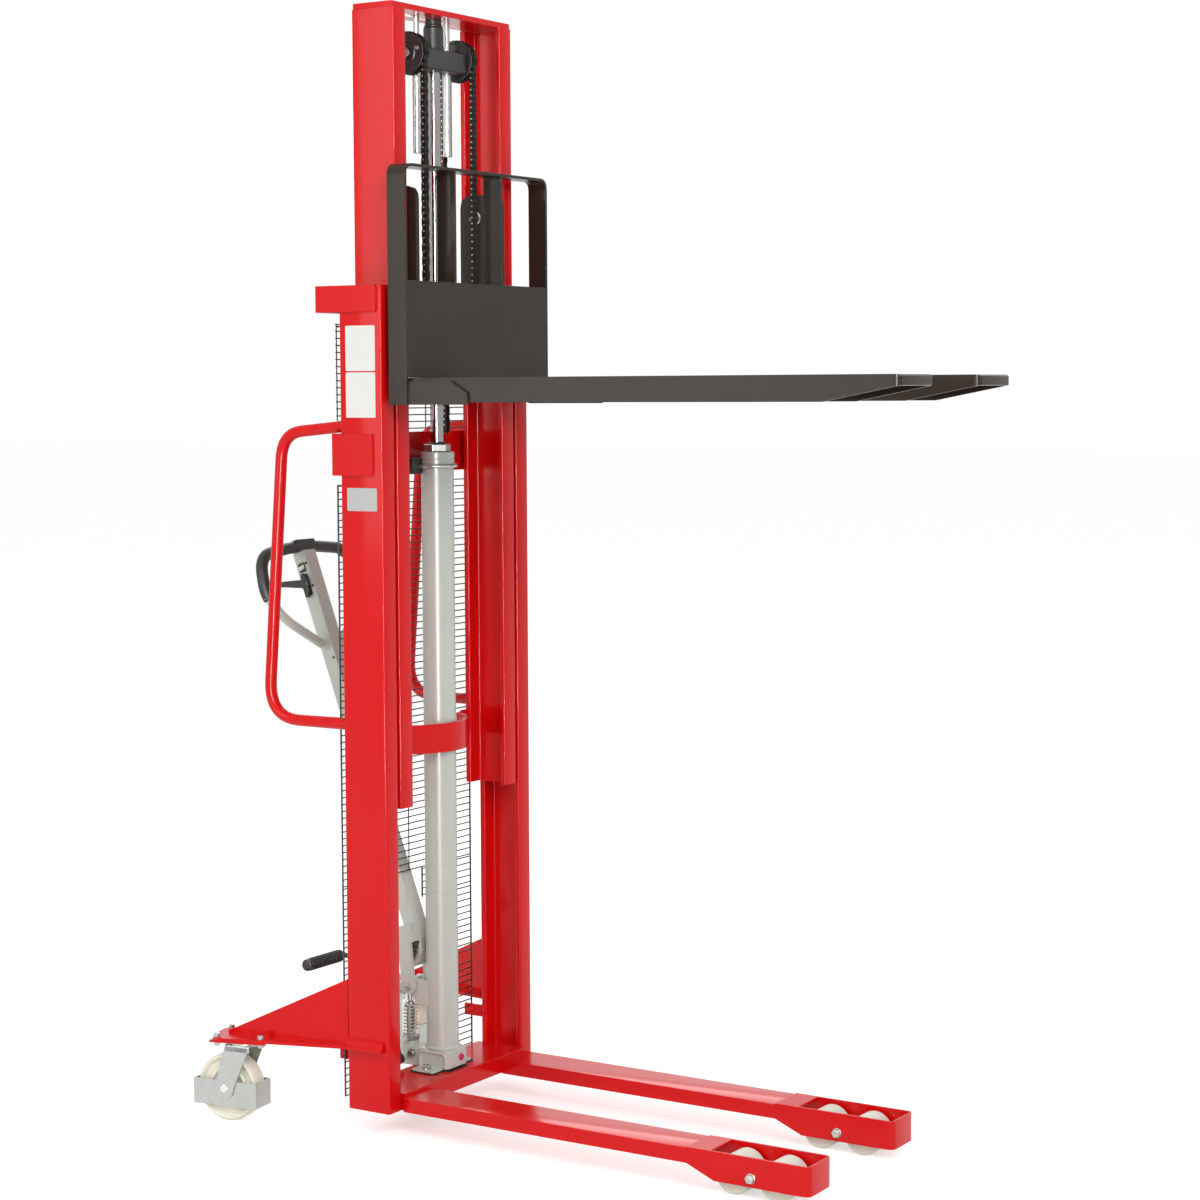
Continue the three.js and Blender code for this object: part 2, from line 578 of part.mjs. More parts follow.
function carriageFrame() {
  const { y, thick, topZ, rearX, round } = sidePlate;
  const bottomZ = crossBar.lowerZ - 8;
  const barRearX = carriageFaceX - crossBar.thick;
  const pieces = [-1, 1].flatMap((side) => {
    const from = side * y - thick / 2;
    const axleFrom = side > 0 ? y : -innerY + channel.web + SLIDE;
    const axleTo = side > 0 ? innerY - channel.web - SLIDE : -y;
    const stubs = carriageRollerZ.map((z) => bar("y", channelMiddleX, z, roller.axle, axleFrom, axleTo));
    const flank = prism("xz", outline([
      [rearX, bottomZ], [carriageFaceX, bottomZ], [carriageFaceX, topZ, round], [rearX, topZ, round],
    ]), from, from + thick);
    return [flank, ...stubs];
  });
  const rails = [[crossBar.lowerZ, crossBar.lowerHeight], [crossBar.upperZ, crossBar.upperHeight]];
  const bars = rails.map(([z, height]) => box([barRearX, carriageFaceX], [-y, y], [z, z + height]));
  const lugs = [-1, 1].map((side) => box(
    [frontStrandX - chain.height / 2 - OVERLAP, barRearX + OVERLAP],
    [side * sheave.y - chain.width / 2, side * sheave.y + chain.width / 2],
    [chain.frontAnchorZ - chain.anchorHeight, chain.frontAnchorZ]));
  return join(...pieces, ...bars, ...lugs);
}

// A hoop of flat bar with two upright bars, and a gusset plate beside each fork.
function loadHoop() {
  const { outerY: side, footZ, topZ, rearX, frontX, thick, corner, barY } = hoop;
  const arch = cut(
    prism("yz", outline([
      [-side, footZ], [side, footZ], [side, topZ, corner], [-side, topZ, corner],
    ]), rearX, frontX),
    prism("yz", outline([
      [thick - side, footZ - OVERLAP], [side - thick, footZ - OVERLAP],
      [side - thick, topZ - thick, corner - thick], [thick - side, topZ - thick, corner - thick],
    ]), rearX - OVERLAP, frontX + OVERLAP));
  const bars = [-1, 1].map((s) => cut(
    box([rearX, frontX], [s * barY - thick / 2, s * barY + thick / 2],
      [crossBar.lowerZ - 8, topZ - thick + OVERLAP]),
    box([frontX - thick - GAP, frontX + OVERLAP], [-side, side], [footZ, backPlateTopZ + GAP])));
  const gussets = [-1, 1].map((s) => {
    const inY = fork.outerY + GAP;
    const outY = side - thick + OVERLAP;
    return prism("xz", outline([
      [rearX, footZ], [frontX + forkGusset.length, footZ],
      [frontX + forkGusset.length, footZ + forkGusset.height / 2],
      [frontX + forkGusset.length - forkGusset.cut, footZ + forkGusset.height],
      [rearX, footZ + forkGusset.height],
    ]), s > 0 ? inY : -outY, s > 0 ? outY : -inY);
  });
  return join(arch, ...bars, ...gussets);
}

function backPlate() {
  const halfWidth = hoop.outerY - hoop.thick - GAP;
  return box([hoop.frontX - hoop.thick, hoop.frontX], [-halfWidth, halfWidth],
    [fork.topZ + GAP, backPlateTopZ]);
}

// An upturned channel whose sides taper to a bent nose; the back plate stands on its seat.
function forkArm() {
  const { outerY: outY, width, topZ, height, skin, side, tipX, tipHeight, noseRound } = fork;
  const inY = outY - width;
  const rearX = hoop.rearX;
  const footZ = topZ - height;
  const profile = prism("xz", outline([
    [rearX, footZ], [tipX - fork.taper, footZ], [tipX, topZ - tipHeight],
    [tipX, topZ, fork.noseBend], [rearX, topZ],
  ]), inY, outY);
  const plan = (edge, shrink) => outline([
    [rearX - edge, inY + shrink], [tipX - shrink, inY + shrink, noseRound],
    [tipX - shrink, outY - shrink, noseRound], [rearX - edge, outY - shrink],
  ]);
  const seat = box([rearX - OVERLAP, hoop.frontX + GAP], [inY - OVERLAP, outY + OVERLAP],
    [topZ - GAP, topZ + OVERLAP]);
  return cut(
    profile.intersect(prism("xy", plan(0, 0), footZ, topZ)),
    prism("xy", plan(OVERLAP, side), footZ - OVERLAP, topZ - skin), seat);
}

// ------------------------------------------------------------ rolling gear
// Built round the swivel axis at the origin; the wheel trails towards -X.
const wheelX = -caster.trail;

function casterFork() {
  const { wheelRadius, wheelWidth, legThick, legGap, guardLength, guardWall } = caster;
  const crownZ = 2 * wheelRadius + 8;
  const topZ = outriggerBottomZ - caster.plateThick - GAP;
  const inY = wheelWidth / 2 + legGap;
  const legOutline = outline([
    [wheelX - 17, wheelRadius - 14, 12], [wheelX + 17, wheelRadius - 14, 12],
    [wheelX + 19, wheelRadius + 8], [34, crownZ], [34, topZ - 8], [-34, topZ - 8], [-30, crownZ],
  ]);
  const legs = [-1, 1].map((side) => {
    const y = side > 0 ? inY : -inY - legThick;
    return prism("xz", legOutline, y, y + legThick);
  });
  const crown = box([-34, 34], [-inY - legThick, inY + legThick], [topZ - 14, topZ - 8]);
  const head = bar("z", 0, 0, caster.headRadius, topZ - 9, topZ, 32);
  const guardY = inY + legThick + guardWall;
  const guardX = [wheelX - guardLength / 2, wheelX + guardLength / 2];
  const guardZ = [caster.guardBottomZ, caster.guardTopZ];
  const guard = cut(
    box(guardX, [-guardY, guardY], guardZ),
    box([guardX[0] + guardWall, guardX[1] - guardWall], [-inY - legThick, inY + legThick],
      [guardZ[0] - OVERLAP, guardZ[1] + OVERLAP]));
  const axle = bar("y", wheelX, wheelRadius, caster.axle, -guardY - 4, guardY + 4, 16);
  return join(...legs, crown, head, guard, axle);
}

// A nylon wheel with a raised hub; its middle is at the origin, its axle along Y.
function casterWheel() {
  const { wheelRadius, wheelWidth, axle, hub } = caster;
  const half = wheelWidth / 2;
  const edge = 6;
  const dish = 5;
  const points = [
    [axle + RUN, -half], [hub, -half], [hub, dish - half], [wheelRadius - 2 * edge, dish - half],
    [wheelRadius - edge, -half], [wheelRadius, dish - half], [wheelRadius, half - dish],
    [wheelRadius - edge, half], [wheelRadius - 2 * edge, half - dish], [hub, half - dish],
    [hub, half], [axle + RUN, half], [axle + RUN, -half],
  ].map(([radius, y]) => new THREE.Vector2(radius, y));
  return solidOf(new THREE.LatheGeometry(points, 24));
}

// Two link plates on a pivot pin, with an axle for each load roller.
function bogieFrame() {
  const { wheelbase, plate, plateHeight, pin, axle } = bogie;
  const middleY = leg.outerY - leg.width / 2;
  const inY = loadRoller.width / 2 + 1.5;
  const reach = wheelbase / 2 + plateHeight / 2;
  const axleZ = loadRoller.radius - bogie.z;
  const link = outline([
    [-reach, axleZ - plateHeight / 2, 10], [reach, axleZ - plateHeight / 2, 10],
    [reach, axleZ + plateHeight / 2, 10], [-reach, axleZ + plateHeight / 2, 10],
  ]);
  const plates = [-1, 1].map((side) => {
    const y = middleY + (side > 0 ? inY : -inY - plate);
    return prism("xz", link, y, y + plate);
  });
  const axles = [-1, 1].map((side) => (
    bar("y", side * wheelbase / 2, axleZ, axle, middleY - inY - OVERLAP, middleY + inY + OVERLAP, 16)));
  const pinReach = leg.width / 2 + 9;
  return join(...plates, ...axles, bar("y", 0, 0, pin, middleY - pinReach, middleY + pinReach, 16));
}

const loadRollerRing = () => cut(
  bar("y", 0, 0, loadRoller.radius, -loadRoller.width / 2, loadRoller.width / 2, 32),
  bar("y", 0, 0, bogie.axle + RUN, -loadRoller.width / 2 - OVERLAP, loadRoller.width / 2 + OVERLAP, 16));

// ------------------------------------------------------------ controls
const lean = THREE.MathUtils.degToRad(tiller.leanDeg);
// A point at a distance along the leaning shaft, and a distance in front of its middle.
const onShaft = (along, ahead = 0) => [
  tiller.kneeX - along * Math.sin(lean) + ahead * Math.cos(lean),
  tiller.kneeZ + along * Math.cos(lean) + ahead * Math.sin(lean),
];

function tillerShaft() {
  const { depth, width, wall, length, ear, earY, earRadius, pivotX, pivotZ, pin, camReach, cam } = tiller;
  const half = depth / 2;
  const tube = (start, end, shrink) => prism("xz", outline([
    onShaft(start, shrink - half), onShaft(start, half - shrink),
    onShaft(end, half - shrink), onShaft(end, shrink - half),
  ]), shrink - width / 2, width / 2 - shrink);
  const shaft = cut(tube(-20, length, 0), tube(20, length + OVERLAP, wall));
  const yoke = prism("xz", outline([
    onShaft(-28, -half - 2), onShaft(-28, half), onShaft(14, half), onShaft(14, -half - 2),
  ]), -earY - ear / 2, earY + ear / 2);
  const ears = [-1, 1].map((side) => {
    const from = side * earY - ear / 2;
    const flank = prism("xz", outline([
      [pivotX - earRadius, pivotZ], [pivotX + earRadius, pivotZ],
      onShaft(10, half), onShaft(10, -half - 2),
    ]), from, from + ear);
    return join(flank, bar("y", pivotX, pivotZ, earRadius, from, from + ear),
      box([pivotX - camReach - cam, pivotX], [from, from + ear], [pivotZ - cam, pivotZ + cam]));
  });
  const pivot = bar("y", pivotX, pivotZ, pin, -earY - ear, earY + ear, 16);
  const camBar = bar("y", pivotX - camReach, pivotZ, cam, -earY, earY, 16);
  return join(shaft, yoke, ...ears, pivot, camBar);
}

// A closed grip loop across the top of the shaft, with two stays back to it.
function tillerBow() {
  const { radius, halfWidth, drop, crown } = bow;
  const stayY = tiller.width / 2 + GAP + radius;
  const cornerY = halfWidth - 20;
  const saddle = radius + GAP + crown * tiller.width / 2 / cornerY;
  const at = (below, y, bend) => {
    const [x, z] = onShaft(tiller.length + saddle - below);
    return [x, y, z, bend];
  };
  const half = (side) => [
    at(crown, side * cornerY, 45), at(drop / 2, side * halfWidth, 30),
    at(drop - 40, side * (halfWidth - 40), 20), at(drop + 20, side * stayY),
  ];
  const loop = bentBar([...half(-1).reverse(), at(0, 0, 10), ...half(1)], radius, 44);
  const hubHalf = halfWidth / 5;
  const hubFoot = tiller.length + GAP;
  const hubTop = hubFoot + 2 * radius;
  const hub = prism("xz", outline([
    onShaft(hubFoot, -radius), onShaft(hubFoot, radius), onShaft(hubTop, radius), onShaft(hubTop, -radius),
  ]), -hubHalf, hubHalf);
  return join(loop, hub);
}

// A finger lever on the shaft's right face.
function fingerLever() {
  const { length, thick, along, height } = lever;
  const inY = tiller.width / 2 + GAP;
  const [x, z] = onShaft(along);
  return join(
    box([x - length, x + thick], [-inY - 2 * thick, -inY - thick / 2], [z - height / 2, z + height / 2]),
    bar("y", x, z, thick + 2, -inY - 2 * thick, -inY));
}

// A cranked arm with a grip across its end, turning on the pump's pin.
function footPedal() {
  const { x, z, gripRadius, gripInnerY, gripOuterY, arm, pivotX, pivotZ, pivotY, pin } = pedal;
  const hubRadius = 2 * arm;
  const stem = bentBar([
    [pivotX, pivotY, pivotZ + hubRadius / 2], [pivotX - 30, pivotY, z - 50, 20], [x, pivotY, z, 20],
    [x, gripInnerY - 30, z],
  ], arm, 18, 8);
  return cut(
    join(stem, bar("y", x, z, gripRadius, gripOuterY, gripInnerY),
      bar("y", pivotX, pivotZ, hubRadius, pivotY - arm, pivotY + arm)),
    bar("y", pivotX, pivotZ, pin + RUN, pivotY - 2 * arm, pivotY + 2 * arm, 16));
}

// ------------------------------------------------------------ assembly
const walkieStacker = new THREE.Group();
const leftSide = new THREE.Group();
const rightSide = new THREE.Group();
const middle = new THREE.Group();
walkieStacker.add(leftSide, rightSide, middle);
leftSide.position.x = MAST_FRONT_X;
rightSide.position.x = MAST_FRONT_X;
middle.position.x = MAST_FRONT_X;
rightSide.scale.y = -1;

function addOne(name, solid, material, group = middle) {
  const piece = new THREE.Mesh(geometryOf(solid), material);
  piece.name = name;
  group.add(piece);
  return piece;
}

function addPair(name, solid, material, place = [0, 0, 0], turnZ = 0) {
  for (const [side, group] of [["left", leftSide], ["right", rightSide]]) {
    const piece = addOne(`${name}_${side}`, solid, material, group);
    piece.position.set(...place);
    piece.rotation.z = turnZ;
  }
}

addPair("outer_mast", outerChannel(), redPaint);
addOne("base_plate", baseDeck(), redPaint);
addPair("support_leg", supportLeg(), redPaint);
addPair("outrigger", outriggerArm(), redPaint);
addPair("grab_handle", grabTube(), redPaint);
addOne("top_tie", topStrap(), redPaint);
addOne("cylinder_tie", cylinderStrap(), redPaint);
addOne("mesh_guard_upper", meshPanel(mesh.upperBottomZ, mesh.upperTopZ, false), blackPaint);
addOne("mesh_guard_lower", meshPanel(mesh.lowerBottomZ, mesh.lowerTopZ, true), blackPaint);

addOne("cylinder_tube", cylinderTube(), greyPaint);
addOne("gland_nut", glandNut(), zincPlate);
addOne("cylinder_base", cylinderFoot(), greyPaint);
addOne("clamp_block", clampBlock(), blackPaint);
addOne("pump_bracket", pumpBracket(), greyPaint);
addOne("pump_body", pumpBody(), greyPaint);
addPair("chain_rear", chainStrand(rearStrandX, chain.rearAnchorZ + GAP, sheave.z), chainSteel);

addPair("inner_mast", innerChannel(), redPaint);
addOne("inner_top_bar", innerTopBar(), redPaint);
addOne("inner_brace", innerBrace(), redPaint);
const mastRollerY = (innerY + outerY - channel.web) / 2;
["lower", "upper"].forEach((level, i) => {
  addPair(`mast_roller_${level}`, rollerRing(), zincPlate, [channelMiddleX, mastRollerY, mastRollerZ[i]]);
});

addOne("crosshead", liftHead(), blackPaint);
addOne("lift_rod", rodAndPiston(), chromePlate);
addPair("sheave", sheaveWheel(), blackPaint, [channelMiddleX, sheave.y, sheave.z]);
addPair("chain_front", chainStrand(frontStrandX, chain.frontAnchorZ + GAP, sheave.z), chainSteel);

addOne("carriage_frame", carriageFrame(), carriagePaint);
addOne("load_hoop", loadHoop(), carriagePaint);
addOne("back_plate", backPlate(), carriagePaint);
addPair("fork", forkArm(), carriagePaint);
const carriageRollerY = (sidePlate.y + sidePlate.thick / 2 + innerY - channel.web) / 2;
["lower", "upper"].forEach((level, i) => {
  const place = [channelMiddleX, carriageRollerY, carriageRollerZ[i]];
  addPair(`carriage_roller_${level}`, rollerRing(), zincPlate, place);
});

const swivel = THREE.MathUtils.degToRad(caster.swivelDeg);
const wheelCentre = [
  caster.x - caster.trail * Math.cos(swivel), caster.y + caster.trail * Math.sin(swivel), caster.wheelRadius,
];
addPair("caster_fork", casterFork(), zincPlate, [caster.x, caster.y, 0], -swivel);
addPair("caster_wheel", casterWheel(), creamNylon, wheelCentre, -swivel);
addPair("bogie", bogieFrame(), zincPlate, [bogie.x, 0, bogie.z]);
["rear", "front"].forEach((end, i) => {
  const x = bogie.x + (i - 0.5) * bogie.wheelbase;
  const y = leg.outerY - leg.width / 2;
  addPair(`load_roller_${end}`, loadRollerRing(), whiteNylon, [x, y, loadRoller.radius]);
});

addOne("tiller_shaft", tillerShaft(), greyPaint);
addOne("tiller_bow", tillerBow(), rubberGrip);
addOne("control_lever", fingerLever(), blackPlastic);
addOne("pump_plunger", pumpPlunger(), chromePlate);
addOne("pump_spring", pumpSpring(), springSteel);
addOne("foot_pedal", footPedal(), blackPlastic);

export default walkieStacker;
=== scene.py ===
"""Looks of the manual walkie stacker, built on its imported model.

Shapes are drawn in millimetres from the front face of the mast: x runs forward along the forks,
y to the machine's left and z up from the floor. TO_MODEL brings them to the model's frame, which
is in metres and has its origin under the middle of the machine.
"""

import json
import math

import bmesh
import bpy
from mathutils import Matrix, Vector

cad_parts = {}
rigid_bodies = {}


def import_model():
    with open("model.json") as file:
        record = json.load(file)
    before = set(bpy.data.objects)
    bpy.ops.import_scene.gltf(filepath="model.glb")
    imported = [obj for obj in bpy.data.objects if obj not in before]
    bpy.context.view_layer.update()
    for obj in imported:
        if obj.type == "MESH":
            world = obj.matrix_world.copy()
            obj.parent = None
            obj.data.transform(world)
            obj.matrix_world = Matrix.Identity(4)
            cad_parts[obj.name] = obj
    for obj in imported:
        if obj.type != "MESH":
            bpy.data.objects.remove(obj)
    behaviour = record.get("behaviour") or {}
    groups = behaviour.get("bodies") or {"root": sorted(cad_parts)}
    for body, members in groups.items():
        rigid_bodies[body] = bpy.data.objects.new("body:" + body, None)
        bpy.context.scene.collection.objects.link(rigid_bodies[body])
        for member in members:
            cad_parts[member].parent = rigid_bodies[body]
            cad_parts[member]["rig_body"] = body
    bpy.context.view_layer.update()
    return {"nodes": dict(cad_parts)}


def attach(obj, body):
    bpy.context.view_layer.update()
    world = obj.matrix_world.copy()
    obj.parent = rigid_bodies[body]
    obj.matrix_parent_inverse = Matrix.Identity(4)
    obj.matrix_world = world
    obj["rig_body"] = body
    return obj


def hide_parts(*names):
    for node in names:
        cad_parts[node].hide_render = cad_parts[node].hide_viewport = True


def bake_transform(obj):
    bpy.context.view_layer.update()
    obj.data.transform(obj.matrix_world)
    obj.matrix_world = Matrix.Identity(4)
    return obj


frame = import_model()

MAST_FRONT_X = -0.349
MM = 0.001
TO_MODEL = Matrix.Translation((MAST_FRONT_X, 0, 0)) @ Matrix.Scale(MM, 4)
SIDES = (("left", 1), ("right", -1))

# ------------------------------------------------------------ sizes, in millimetres
MAST_X = -55.5
MAST_BACK_X = -111.3
SHEAVE_Y = 90
SHEAVE_Z = 2331
PITCH_RADIUS = 40
CHAIN_PITCH = 12.7
FRONT_UPPER_LINKS = 30
FRONT_LOWER_LINKS = 9
REAR_UPPER_LINKS = 16
REAR_LOWER_LINKS = 48
WHEEL_LINKS = 10
TILLER_KNEE = (-126, 400)
TILLER_LEAN = math.radians(20.2)
TILLER_LENGTH = 896
CASTER_PIVOT = (-362, 316)
CASTER_TRAIL = 38
CASTER_SWIVEL = math.radians(8)
CASTER_WHEEL_RADIUS = 75
CASTER_WHEEL_WIDTH = 45
LEVER_ALONG = 820
GRIP_REACH = 122
TOP_BAR_PAINT_Z = 2400
PLATE_TOP_Z = 195
PLATE_BOTTOM_Z = 184
OUTRIGGER_UNDERSIDE_Z = 188
PUMP_X = -147
TILLER_PIVOT_X = -118
GUARD_X = -146
GUARD_COLUMN = 80
GUARD_ROW = 15
GUARD_WIRE = 1.5
LEG_Y = 187
BOGIE_X = 866.5
BOGIE_BOLT_REACH = 49.6
LOAD_ROLLER_SPREAD = 49.5
LOAD_ROLLER_RADIUS = 40
LOAD_ROLLER_WIDTH = 70

# ------------------------------------------------------------ angles and distances that the meshes go by
SHARP_ANGLE = math.radians(32)
BROKEN_EDGE_ANGLE = math.radians(38)
FLAT_ANGLE = math.radians(0.5)
SAME_POINT_MM = 1e-4
SAME_POINT_M = 2e-6

# ------------------------------------------------------------ camera, floor and lights, in metres
CAMERA_PLACE = (2.96606, -4.64528, 1.60485)
CAMERA_TURN = (math.radians(32.39), math.radians(4.61), math.radians(-0.26))
FOCAL_LENGTH = 77.73
SENSOR_WIDTH = 36
FAR_CLIP = 200
FILL_STRENGTH = 0.55
FLOOR_REACH = 60
FLOOR_GREY = (0.82, 0.82, 0.82, 1)
FLOOR_GLOW = 0.54
WHITE = (1, 1, 1, 1)


def placed(name, data):
    """A new object in the scene that holds a mesh, a lamp or a lens."""
    thing = bpy.data.objects.new(name, data)
    bpy.context.scene.collection.objects.link(thing)
    return thing


def set_camera():
    """The camera stands at the right front and looks slightly down."""
    yaw, pitch, roll = CAMERA_TURN
    ahead = Vector((-math.sin(yaw) * math.cos(pitch), math.cos(yaw) * math.cos(pitch), -math.sin(pitch)))
    level = Vector((math.cos(yaw), math.sin(yaw), 0))
    upright = level.cross(ahead)
    right = level * math.cos(roll) + upright * math.sin(roll)
    up = upright * math.cos(roll) - level * math.sin(roll)
    turn = Matrix((right, up, -ahead)).transposed().to_4x4()
    lens = bpy.data.cameras.new("camera")
    lens.sensor_width = SENSOR_WIDTH
    lens.lens = FOCAL_LENGTH
    lens.clip_end = FAR_CLIP
    camera = placed("camera", lens)
    camera.matrix_world = Matrix.Translation(CAMERA_PLACE) @ turn
    bpy.context.scene.camera = camera


def soft_light(name, place, target, size, power, diffuse=True, gloss=True):
    """An area light: one without its diffuse part only draws bright lines on round edges."""
    lamp = bpy.data.lights.new(name, "AREA")
    lamp.shape = "RECTANGLE"
    lamp.size, lamp.size_y = size
    lamp.energy = power
    light = placed(name, lamp)
    aim = (Vector(target) - Vector(place)).to_track_quat("-Z", "Y").to_matrix().to_4x4()
    light.matrix_world = Matrix.Translation(place) @ aim
    light.visible_camera = False
    light.visible_diffuse = diffuse
    light.visible_glossy = gloss


def seen_directly(nodes, links):
    """1 for the camera and for rays that metal and glass send on, otherwise 0."""
    path = nodes.new("ShaderNodeLightPath")
    last = path.outputs["Is Camera Ray"]
    for ray in ("Is Glossy Ray", "Is Transmission Ray"):
        either = nodes.new("ShaderNodeMath")
        either.operation = "MAXIMUM"
        links.new(last, either.inputs[0])
        links.new(path.outputs[ray], either.inputs[1])
        last = either.outputs[0]
    return last


def set_world():
    """An even fill on the object, before a background that looks white."""
    world = bpy.data.worlds.new("studio")
    world.use_nodes = True
    nodes, links = world.node_tree.nodes, world.node_tree.links
    nodes.clear()
    fill = nodes.new("ShaderNodeBackground")
    fill.inputs["Color"].default_value = WHITE
    fill.inputs["Strength"].default_value = FILL_STRENGTH
    white = nodes.new("ShaderNodeBackground")
    white.inputs["Color"].default_value = WHITE
    white.inputs["Strength"].default_value = 1
    either = nodes.new("ShaderNodeMixShader")
    out = nodes.new("ShaderNodeOutputWorld")
    links.new(seen_directly(nodes, links), either.inputs[0])
    links.new(fill.outputs[0], either.inputs[1])
    links.new(white.outputs[0], either.inputs[2])
    links.new(either.outputs[0], out.inputs["Surface"])
    bpy.context.scene.world = world


def lay_floor():
    """A pale matt floor, lifted to white where it is seen directly, that keeps the object's shadow."""
    mesh = bpy.data.meshes.new("floor")
    corners = [(x * FLOOR_REACH, y * FLOOR_REACH, 0) for x, y in ((-1, -1), (1, -1), (1, 1), (-1, 1))]
    mesh.from_pydata(corners, [], [(0, 1, 2, 3)])
    floor = placed("floor", mesh)
    material = bpy.data.materials.new("floor_white")
    material.use_nodes = True
    nodes, links = material.node_tree.nodes, material.node_tree.links
    nodes.clear()
    matt = nodes.new("ShaderNodeBsdfDiffuse")
    matt.inputs["Color"].default_value = FLOOR_GREY
    glow = nodes.new("ShaderNodeEmission")
    strength = nodes.new("ShaderNodeMath")
    strength.operation = "MULTIPLY"
    strength.inputs[1].default_value = FLOOR_GLOW
    both = nodes.new("ShaderNodeAddShader")
    out = nodes.new("ShaderNodeOutputMaterial")
    links.new(seen_directly(nodes, links), strength.inputs[0])
    links.new(strength.outputs[0], glow.inputs["Strength"])
    links.new(matt.outputs[0], both.inputs[0])
    links.new(glow.outputs[0], both.inputs[1])
    links.new(both.outputs[0], out.inputs["Surface"])
    mesh.materials.append(material)


bpy.context.scene.view_settings.view_transform = "Standard"
set_camera()
set_world()
lay_floor()
soft_light("key_light", (4.2, -3.4, 4.2), (0, 0, 1.1), (3.0, 3.0), 175, gloss=False)
soft_light("side_light", (-2.6, -5.2, 2.6), (0, 0, 1.2), (2.4, 3.4), 75)
soft_light("rear_light", (-3.0, 3.6, 3.4), (0, 0, 1.2), (2.6, 2.6), 70)
soft_light("edge_light", (1.95, -4.39, 1.5), (0, 0, 1.2), (0.4, 3.4), 420, diffuse=False)


# ------------------------------------------------------------ finishes
def linear(value):
    """A colour part from its screen value to its share of light."""
    return value / 12.92 if value <= 0.04045 else ((value + 0.055) / 1.055) ** 2.4


class Finish:
    """A material of shader nodes over Object coordinates."""

    def __init__(self, name, colour, roughness, metallic=0.0):
        self.material = bpy.data.materials.new(name)
        self.material.use_nodes = True
        tree = self.material.node_tree
        self.nodes, self.links = tree.nodes, tree.links
        self.shader = self.nodes["Principled BSDF"]
        self.colour = [linear(part / 255) for part in colour]
        self.shader.inputs["Metallic"].default_value = metallic
        self.shader.inputs["Roughness"].default_value = roughness
        self.place = self.nodes.new("ShaderNodeTexCoord").outputs["Object"]

    def stretched(self, scale):
        """Object coordinates scaled along each axis."""
        mapping = self.nodes.new("ShaderNodeMapping")
        mapping.inputs["Scale"].default_value = scale
        self.links.new(self.place, mapping.inputs["Vector"])
        return mapping.outputs["Vector"]

    def noise(self, scale, detail=2.0, place=None, roughness=0.5):
        texture = self.nodes.new("ShaderNodeTexNoise")
        texture.inputs["Scale"].default_value = scale
        texture.inputs["Detail"].default_value = detail
        texture.inputs["Roughness"].default_value = roughness
        self.links.new(place or self.place, texture.inputs["Vector"])
        return texture.outputs["Fac"]

    def spread(self, value, low, high, start=0.3, end=0.7):
        """A value brought from start..end to low..high."""
        reach = self.nodes.new("ShaderNodeMapRange")
        reach.inputs["From Min"].default_value = start
        reach.inputs["From Max"].default_value = end
        reach.inputs["To Min"].default_value = low
        reach.inputs["To Max"].default_value = high
        self.links.new(value, reach.inputs["Value"])
        return reach.outputs["Result"]

    def shade(self, amount, value, tint=(1, 1, 1)):
        """The colour, darker and lighter by amount with a pattern."""
        ramp = self.nodes.new("ShaderNodeValToRGB")
        ramp.color_ramp.elements[0].position = 0.25
        ramp.color_ramp.elements[1].position = 0.75
        dark = [part * (1 - amount) for part in self.colour]
        light = [min(1, part * (1 + amount) * t) for part, t in zip(self.colour, tint)]
        ramp.color_ramp.elements[0].color = (*dark, 1)
        ramp.color_ramp.elements[1].color = (*light, 1)
        self.links.new(value, ramp.inputs["Fac"])
        return ramp.outputs["Color"]

    def set(self, socket, value):
        """Sets a socket of the shader to a number, or links a pattern to it."""
        if isinstance(value, (int, float)):
            self.shader.inputs[socket].default_value = value
        else:
            self.links.new(value, self.shader.inputs[socket])

    def raised(self, value, height):
        """Relief from a pattern, height in metres."""
        bump = self.nodes.new("ShaderNodeBump")
        bump.inputs["Strength"].default_value = 1
        bump.inputs["Distance"].default_value = height
        self.links.new(value, bump.inputs["Height"])
        self.links.new(bump.outputs["Normal"], self.shader.inputs["Normal"])

    def surface(self, mottle, cloud, roughness, wear, grain, relief, tint=(1, 1, 1)):
        """Colour, roughness (low, high) and relief from three noises, each a (scale, detail)."""
        self.set("Base Color", self.shade(mottle, self.noise(*cloud), tint))
        self.set("Roughness", self.spread(self.noise(*wear), *roughness))
        self.raised(self.noise(*grain), relief)


def powder_coat(name, colour, roughness, specular, coat, cloud=0.04):
    """Glossy coat with a faint orange peel, and dust that dulls it here and there."""
    paint = Finish(name, colour, roughness)
    gloss = (roughness * 0.9, roughness * 1.12)
    paint.surface(cloud, (3.2, 3), gloss, wear=(11, 4), grain=(300, 1), relief=0.000012)
    paint.set("Specular IOR Level", specular)
    paint.set("Coat Weight", coat)
    paint.set("Coat Roughness", 0.1)
    return paint.material


def machine_paint(name, colour, roughness):
    """Satin paint over a cast or drawn surface."""
    paint = Finish(name, colour, roughness)
    satin = (roughness * 0.88, roughness * 1.15)
    paint.surface(0.04, (7, 4), satin, wear=(24, 4), grain=(260, 2), relief=0.00003)
    return paint.material


def plated(name, colour, roughness, along=(1, 1, 1)):
    """Bright zinc with fine drawing lines and a faint cloudy passivation."""
    zinc = Finish(name, colour, roughness, 1.0)
    cloud = zinc.noise(38, 3)
    zinc.set("Base Color", zinc.shade(0.045, cloud, (1.0, 1.0, 0.98)))
    lines = zinc.noise(900, 2, zinc.stretched(along))
    zinc.set("Roughness", zinc.spread(lines, roughness * 0.75, roughness * 1.3))
    zinc.raised(lines, 0.00002)
    return zinc.material


